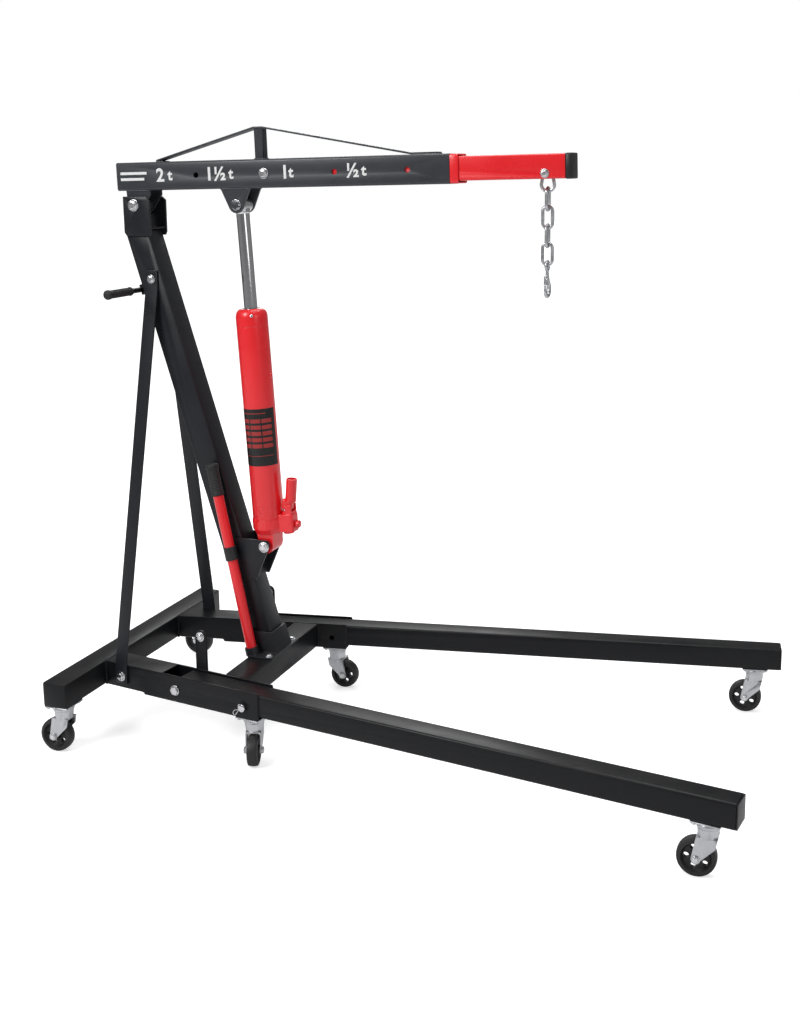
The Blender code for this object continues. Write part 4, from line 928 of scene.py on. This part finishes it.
def ovalPath(halfWidth, top, bottom, flat):
    # the middle line of a link in its own plane; flat picks the plane
    points = []
    turns = chainLook["turns"]
    for centre, start in ((top - halfWidth, 0), (bottom + halfWidth, 180)):
        for step in range(turns + 1):
            angle = math.radians(start + 180 * step / turns)
            points.append((halfWidth * math.cos(angle), centre + halfWidth * math.sin(angle)))
    if flat:
        return [(a, 0, z) for a, z in points]
    return [(0, a, z) for a, z in points]


def makeChain():
    wire = chainLook["wire"]
    hang = Matrix.Translation(pointOf("shackle_swing"))
    for index in range(4):
        node = f"chain_link_{index + 1}"
        low, high = sizeIn(node, hang)
        flat = index % 2 == 1
        halfWidth = (high.x if flat else high.y) - wire
        path = ovalPath(halfWidth, high.z - wire, low.z + wire, flat)
        count = len(path)
        radii = [wire * (0.985 + 0.10 * math.exp(-((i - count * 0.75) / 1.6) ** 2)) for i in range(count)]
        mesh = sweep(path, radii, chainLook["sides"], True, hang)
        addPiece(node + "_fine", mesh, bodyOfNode[node], "zinc", (node,))
    low, high = sizeIn("hook_shackle", hang)
    top, half = high.z - wire, high.x - wire
    bend = [(top * math.cos(math.radians(a)),
             top * math.sin(math.radians(a))) for a in range(20, 161, 14)]
    bottom = low.z + wire + half
    loop = [(half * math.cos(math.radians(a)),
             bottom + half * math.sin(math.radians(a))) for a in range(180, 361, 12)]
    ring = sweep([(a, 0, z) for a, z in bend + loop], wire * 0.985, chainLook["sides"], True, hang)
    addPiece("hook_shackle_fine", ring, "shackle", "zinc", ("hook_shackle",))


hookLook = {"eyeRadius": 0.0105, "eyeWire": 0.0040, "bowl": 0.0175, "stock": 0.0055, "neck": 0.0018}


def makeHook():
    hang = Matrix.Translation(pointOf("shackle_swing"))
    low, high = sizeIn("hook", hang)
    eyeRadius, eyeWire, bowl, stock, neck = hookLook.values()
    eye = high.z - eyeRadius - eyeWire
    middle = low.z + bowl + stock + 0.0003
    ring = [(0, eyeRadius * math.cos(a), eye + eyeRadius * math.sin(a))
            for a in [math.tau * i / 40 for i in range(40)]]
    route = [(0, eye - eyeRadius + 0.001), (0, eye - eyeRadius - 0.006), (0.0005, eye - 0.022),
             (0.004, eye - 0.030)]
    for step in range(25):
        angle = math.radians(55 - 240 * step / 24)
        route.append((bowl * math.cos(angle), middle + bowl * math.sin(angle)))
    route += [(-bowl - 0.0012, middle + 0.006), (-bowl - 0.0021, middle + 0.0103)]
    radii = []
    for index in range(len(route)):
        part = index / (len(route) - 1)
        swell = math.sin(math.pi * min(1, part * 1.25))
        radii.append(stock - neck + neck * swell - 0.0010 * max(0, part - 0.8) / 0.2)
    body = sweep([(0, a, z) for a, z in route], radii, 24, place=hang)
    loop = sweep(ring, eyeWire, 20, True, hang)
    pivot = pointOf("latch_swing")
    lug = roundedBlock((-0.0027, -0.0023, -0.0023), (0.0027, 0.0090, 0.0023), 0.0007,
                       Matrix.Translation(pivot))
    addPiece("hook_fine", castForm([body, loop, lug], 0.0006, 4), "hook", "zinc", ("hook",))
    pin = lathe([(0, 0.0065), (0.0015, 0.0063), (0.0021, 0.0056), (0.0011, 0.0055), (0.0011, -0.0055),
                 (0.0021, -0.0056), (0.0015, -0.0063), (0, -0.0065)], 24,
                placeAt(pivot, Vector((1, 0, 0))))
    addPiece("latch_rivet", pin, "hook", "brightSteel")
    addPiece("hook_latch_fine", refined("hook_latch", 0.0003), "latch", "zinc", ("hook_latch",))


makeChain()
makeHook()
print("chain and hook made")


# handles

def ribbedGrip(length, inner, outer, ribs, flare=0.0015):
    profile = [(0, length), (outer - 0.003, length), (outer - 0.0008, length - 0.0012),
               (outer + flare, length - 0.004),
               (outer + flare, length - 0.010), (outer, length - 0.014)]
    pitch = (length - 0.024) / ribs
    for index in range(ribs):
        z = length - 0.014 - pitch * index
        profile += [(outer, z - pitch * 0.15), (outer - 0.0009, z - pitch * 0.35),
                    (outer - 0.0009, z - pitch * 0.65),
                    (outer, z - pitch * 0.85)]
    profile += [(outer, 0.004), (outer + flare * 0.5, 0.003), (outer + flare * 0.5, 0.0006),
                (outer, 0), (inner, 0), (inner, length - 0.004), (0, length - 0.004)]
    return profile


def makePushHandle():
    low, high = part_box("push_handle")
    gripLow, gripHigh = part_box("push_handle_grip")
    centre = Vector(((gripLow.x + gripHigh.x) / 2, 0, (gripLow.z + gripHigh.z) / 2))
    radius = 0.007
    bar = lathe([(0, high.y), (radius - 0.001, high.y), (radius, high.y - 0.001), (radius, low.y + 0.001),
                 (radius - 0.001, low.y), (0, low.y)], 40, placeAt(centre, left, up))
    addPiece("push_handle_bar", bar, "base_frame", "shadedFramePaint", ("push_handle",))
    slope = Vector((-0.3, 0, 1)).normalized()
    reach = high.x - centre.x - 0.0035
    saddle = roundedBlock((-0.006, -0.020, -0.014), (reach, 0.020, 0.014), 0.002, placeAt(centre, slope))
    addPiece("push_handle_saddle", saddle, "base_frame", "shadedFramePaint")
    place = placeAt(Vector((centre.x, gripHigh.y, centre.z)), -left, up)
    grip = lathe(ribbedGrip(gripHigh.y - gripLow.y, 0.0073, 0.0108, 14), 48, place)
    addPiece("push_handle_grip_fine", grip, "base_frame", "gripRubber", ("push_handle_grip",))


def makeStoredHandle():
    low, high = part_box("pump_handle")
    foot = Vector((high.x - 0.0135, (low.y + high.y) / 2, low.z + 0.0026))
    place = placeAt(foot, handleAxis)
    near, far = sizeIn("pump_handle", place)
    gripNear, gripFar = sizeIn("pump_handle_grip", place)
    centre = Matrix.Translation(((near.x + far.x) / 2, (near.y + far.y) / 2, 0))
    radius = (far.y - near.y) / 2
    length = gripFar.z - gripNear.z
    tube = lathe([(radius - 0.003, far.z), (radius - 0.0008, far.z), (radius, far.z - 0.0008),
                  (radius, near.z + 0.0008), (radius - 0.0008, near.z), (radius - 0.003, near.z)], 56,
                 place @ centre, True)
    addPiece("pump_handle_fine", tube, "stored_handle", "redPaint", ("pump_handle",))
    grip = lathe(ribbedGrip(length, 0.0135, 0.0160, 9, 0.0008), 56,
                 place @ centre @ Matrix.Translation((0, 0, gripNear.z)))
    addPiece("pump_handle_grip_fine", grip, "stored_handle", "gripRubber", ("pump_handle_grip",))


makePushHandle()
makeStoredHandle()
print("handles made")


# locking hardware

def hairpin(place, length=0.046):
    # a spring clip: one straight leg, one waved leg
    points = [(0, 0, 0.004), (0, 0, -length * 0.55)]
    for step in range(9):
        angle = math.radians(180 * step / 8)
        points.append((0.0045 - 0.0045 * math.cos(angle), 0,
                       -length * 0.55 - 0.0045 * math.sin(angle) - 0.004))
    for step in range(12):
        part = step / 11
        wave = 0.0035 * math.cos(part * math.tau * 1.2)
        points.append((0.0055 + wave, 0, -length * 0.5 + part * length * 0.55))
    return sweep(points, 0.0011, 10, place=place)


lockLook = {"pinAlong": 0.217, "pinDrop": 0.002, "earAlong": 0.035, "earDrop": 0.017, "earFace": 0.0372}


def makeLockPins():
    for side in ("left", "right"):
        node = "leg_lock_pin_" + side
        pivot, out, along = railOf(side)
        centre = pivot + along * lockLook["pinAlong"] - up * lockLook["pinDrop"]
        face = placeAt(centre, out, up)
        near, far = sizeIn(node, face)
        top = far.z
        pin = lathe([(0, top - 0.0005), (0.0082, top - 0.0005), (0.0100, top - 0.0018),
                     (0.0106, top - 0.0042),
                     (0.0106, top - 0.0060), (0.0069, top - 0.0063), (0.0069, near.z + 0.001),
                     (0.006, near.z),
                     (0, near.z)], 44, face)
        addPiece(node + "_fine", pin, "lock_pin_" + side, "brightSteel", (node,))
        clipPlace = placeAt(centre + out * (top - 0.0030) + up * 0.004, up + along * 0.75, out)
        addPiece("lock_clip_" + side, hairpin(clipPlace), "lock_pin_" + side, "brightSteel")
        ear = pivot + along * lockLook["earAlong"] - out * lockLook["earFace"]
        ear.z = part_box("side_rail_" + side)[1].z - lockLook["earDrop"]
        setFasteners("ear_bolt_heads_" + side, "base_frame", joinFlat(*hexHead(0.0098, 0.0068, 1.3)),
                     [(ear, -out), (ear + out * 0.0062, out)], "brightSteel")


makeLockPins()


def makeExtensionBolt():
    low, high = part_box("extension_bolt")
    middle = (low + high) / 2
    place = placeAt(Vector((middle.x, low.y + 0.008, middle.z)), -left, up)
    hexagon, disc = hexHead(0.0108, 0.0078, 1.25)
    stem = lathe([(0, 0.001), (0.0068, 0.001), (0.0068, -(high.y - low.y - 0.009)),
                  (0, -(high.y - low.y - 0.009))], 36)
    for part in (hexagon, disc, stem):
        part.transform(place)
    addPiece("extension_bolt_fine", joinFlat(hexagon, disc, stem), "extension_lock", "brightSteel",
             ("extension_bolt",))


makeExtensionBolt()


footLook = {"braceBack": 0.0134, "braceUp": 0.020, "braceFace": 0.0396, "plate": 0.0043, "cheek": 0.0316}


def makeFrameFasteners():
    # brace feet, the foot plate and the ram's upper bolt
    spots = []
    for side in ("left", "right"):
        low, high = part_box("rear_brace_" + side)
        spot = onRail(side, (low.x + high.x) / 2 - footLook["braceBack"], footLook["braceFace"])
        spot.z = low.z + footLook["braceUp"]
        spots.append((spot, axisOf("lock_pin_pull_" + side)))
    setFasteners("brace_foot_bolts", "base_frame", joinFlat(*hexHead(0.0100, 0.0074, 1.3)), spots,
                 "brightSteel")
    low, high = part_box("mid_crossbeam")
    middle = (low.x + high.x) / 2
    spots = [(Vector((middle + x, y, high.z + footLook["plate"])), up)
             for x, y in ((-0.018, 0.066), (0.022, 0.066), (0.022, -0.066))]
    setFasteners("foot_plate_bolts", "base_frame", joinFlat(*hexHead(0.0075, 0.0062, 1.35)), spots,
                 "zinc")
    rodTop = sizeIn("ram_rod", ramPlace)[1].z
    pin = ramPlace @ Vector((0, 0, rodTop - ramLook["eye"]))
    setFasteners("ram_upper_bolt_ends", "boom", joinFlat(*hexHead(0.0112, 0.0078, 1.22)),
                 [(pin + left * footLook["cheek"], left), (pin - left * footLook["cheek"], -left)],
                 "brightSteel")


makeFrameFasteners()
print("fasteners made")


# capacity marks on the boom: plain numbers only

marks = [("2", 0.070, 0.104), ("1½", 0.212, 0.279), ("1", 0.424, 0.446), ("½", 0.600, 0.642)]
markLook = {"height": 0.046, "unit": "t", "unitHeight": 0.036, "weight": 0.0013, "raise": 0.00025}


def textMesh(words, height):
    curve = bpy.data.curves.new("mark", "FONT")
    curve.body = words
    curve.size = height
    curve.extrude = markLook["raise"]
    curve.offset = markLook["weight"]
    curve.align_x = "LEFT"
    curve.align_y = "CENTER"
    curve.resolution_u = 4
    item = bpy.data.objects.new("mark", curve)
    bpy.context.scene.collection.objects.link(item)
    return applied(item)


def makeMarks():
    side, middle = 0.0341, 0.0735
    upright = Matrix.Rotation(math.radians(90), 4, "X")
    halfTurn = Matrix.Rotation(math.pi, 4, "Z")
    reach = marks[-1][2] + marks[0][1] + 0.03
    meshes = []
    for number, start, unitStart in marks:
        for words, x, height in ((number, start, markLook["height"]),
                                 (markLook["unit"], unitStart, markLook["unitHeight"])):
            near = textMesh(words, height)
            far = near.copy()
            near.transform(boomPlace @ Matrix.Translation((x, -side, middle)) @ upright)
            far.transform(boomPlace @ Matrix.Translation((reach - x, side, middle)) @ halfTurn @ upright)
            meshes += [near, far]
    addPiece("boom_marks", joinFlat(*meshes), "boom", "whiteInk")
    bars = []
    for face in (-1, 1):
        for z, length in ((0.081, 0.078), (0.066, 0.070)):
            y = face * side
            bars.append(roundedBlock((-0.036, y - 0.00025, z - 0.0035),
                                     (-0.036 + length, y + 0.00025, z + 0.0035),
                                     0.0002, boomPlace, 1))
    addPiece("boom_blank_plate_bars", together(*bars), "boom", "whiteInk")


makeMarks()


# weld seams

weldLook = {"frame": 0.0030, "boom": 0.0022, "underBoom": 0.037, "onBoom": 0.1095, "post": 0.3556,
            "clevis": 0.2933}


def makeFrameWelds():
    seams = []
    beamLow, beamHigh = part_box("rear_crossbeam")
    crossLow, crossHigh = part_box("mid_crossbeam")

    def upright(spot, low, high):
        return [Vector((spot.x, spot.y, low.z + 0.005)), Vector((spot.x, spot.y, high.z - 0.004))]

    for side in ("left", "right"):
        for across in (0.033, -0.033):
            seams.append(upright(onRail(side, beamHigh.x + 0.0005, across), beamLow, beamHigh))
        ends = [onRail(side, beamHigh.x + 0.0005, across) for across in (0.031, -0.031)]
        for end in ends:
            end.z = beamHigh.z - 0.0015
        seams.append(ends)
        for x in (crossLow.x + 0.0003, crossHigh.x - 0.0003):
            seams.append(upright(onRail(side, x, -0.0345), crossLow, crossHigh))
    weldSeams("frame_welds", "base_frame", seams, "shadedFramePaint", weldLook["frame"])


def makeBoomWelds():
    under, top, post, clevis = (weldLook[key] for key in ("underBoom", "onBoom", "post", "clevis"))
    front = sizeIn("boom_stay", boomPlace)[1].x
    seams = []
    for y in (-0.0318, 0.0318):
        seams += [[(clevis - 0.040, y, under), (clevis + 0.040, y, under)],
                  [(-0.022, y * 0.98, under), (0.042, y * 0.98, under)]]
    for x in (post - 0.0128, post + 0.0128):
        seams.append([(x, -0.012, top), (x, 0.012, top)])
    for y in (-0.0128, 0.0128):
        seams.append([(post - 0.012, y, top), (post + 0.012, y, top)])
    seams.append([(front, -0.014, top + 0.001), (front, 0.014, top + 0.001)])
    for y in (-0.0152, 0.0152):
        seams += [[(0.770, y, top), (front, y, top)], [(0.062, y, top), (0.080, y, top)]]
    placed = [[boomPlace @ Vector(point) for point in seam] for seam in seams]
    weldSeams("boom_welds", "boom", placed, "boomPaint", weldLook["boom"])


makeFrameWelds()
makeBoomWelds()
print("welds made")


# floor, light and camera

stageLook = {"roomLight": 0.24, "floorLift": 0.60, "whiteFrom": 1.3, "whiteBy": 3.6}


def makeFloor():
    bpy.ops.mesh.primitive_plane_add(size=60, location=(0, 0, 0))
    floor = bpy.context.object
    floor.name = "floor"
    material = bpy.data.materials.new("paleFloor")
    material.use_nodes = True
    tree = material.node_tree
    shader = tree.nodes["Principled BSDF"]
    shader.inputs["Specular IOR Level"].default_value = 0.1
    shader.inputs["Roughness"].default_value = 0.8
    shader.inputs["Base Color"].default_value = (0.86, 0.86, 0.87, 1)
    # the floor fades to plain white away from the crane
    surface = tree.nodes.new("ShaderNodeNewGeometry")
    reach = addNode(tree, "ShaderNodeVectorMath", {"operation": "LENGTH"})
    tree.links.new(surface.outputs["Position"], reach.inputs[0])
    fade = tree.nodes.new("ShaderNodeMapRange")
    fade.interpolation_type = "SMOOTHSTEP"
    for label, value in (("From Min", stageLook["whiteFrom"]), ("From Max", stageLook["whiteBy"]),
                         ("To Min", stageLook["floorLift"]), ("To Max", 1.0)):
        fade.inputs[label].default_value = value
    tree.links.new(reach.outputs["Value"], fade.inputs["Value"])
    rays = tree.nodes.new("ShaderNodeLightPath")
    lift = mathNode(tree, "MULTIPLY", fade.outputs[0], rays.outputs["Is Camera Ray"])
    shader.inputs["Emission Color"].default_value = (1, 1, 1, 1)
    tree.links.new(lift, shader.inputs["Emission Strength"])
    floor.data.materials.append(material)


def makeRoom():
    # white to the camera; to the crane, a dim room with a brighter ceiling
    world = bpy.data.worlds.new("studio")
    bpy.context.scene.world = world
    world.use_nodes = True
    tree = world.node_tree
    back = tree.nodes["Background"]
    rays = tree.nodes.new("ShaderNodeLightPath")
    place = tree.nodes.new("ShaderNodeTexCoord")
    split = tree.nodes.new("ShaderNodeSeparateXYZ")
    tree.links.new(place.outputs["Generated"], split.inputs[0])
    ceiling = mathNode(tree, "MULTIPLY", mathNode(tree, "MAXIMUM", split.outputs["Z"], 0.0), 0.5)
    sides = mathNode(tree, "MULTIPLY", mathNode(tree, "ABSOLUTE", split.outputs["X"]), 0.35)
    room = mathNode(tree, "MULTIPLY", mathNode(tree, "ADD", mathNode(tree, "ADD", ceiling, sides), 0.6),
                    stageLook["roomLight"])
    seen = mathNode(tree, "MAXIMUM", room, rays.outputs["Is Camera Ray"])
    back.inputs["Color"].default_value = (1, 1, 1, 1)
    tree.links.new(seen, back.inputs["Strength"])


lights = [
    ("key", (-2.2, -3.4, 3.4), (0.0, 0.0, 0.8), 1.8, 125),
    ("fill", (3.4, -2.2, 2.0), (0.2, 0.0, 0.7), 1.6, 14),
    ("top", (0.4, 0.4, 4.2), (0.0, 0.0, 0.6), 2.6, 84),
    ("back", (-1.5, 3.0, 2.4), (0.0, 0.0, 0.9), 1.6, 30),
]


def makeLights():
    for name, place, target, size, power in lights:
        data = bpy.data.lights.new(name, "AREA")
        data.size = size
        data.energy = power
        item = bpy.data.objects.new(name, data)
        bpy.context.scene.collection.objects.link(item)
        item.location = place
        item.rotation_euler = (Vector(target) - Vector(place)).to_track_quat("-Z", "Y").to_euler()


def makeCamera():
    data = bpy.data.cameras.new("view")
    data.lens = 44.69
    data.sensor_width = 36
    data.shift_x = -0.0871
    data.shift_y = -0.1112
    camera = bpy.data.objects.new("view", data)
    bpy.context.scene.collection.objects.link(camera)
    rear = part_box("rear_crossbeam")[0].x
    camera.location = (rear + 2.0052, -2.9278, 1.4842)
    camera.rotation_euler = (math.radians(90 - 10.4), 0, math.radians(17.81))
    bpy.context.scene.camera = camera


makeFloor()
makeRoom()
makeLights()
makeCamera()
bpy.context.scene.view_settings.view_transform = "Standard"
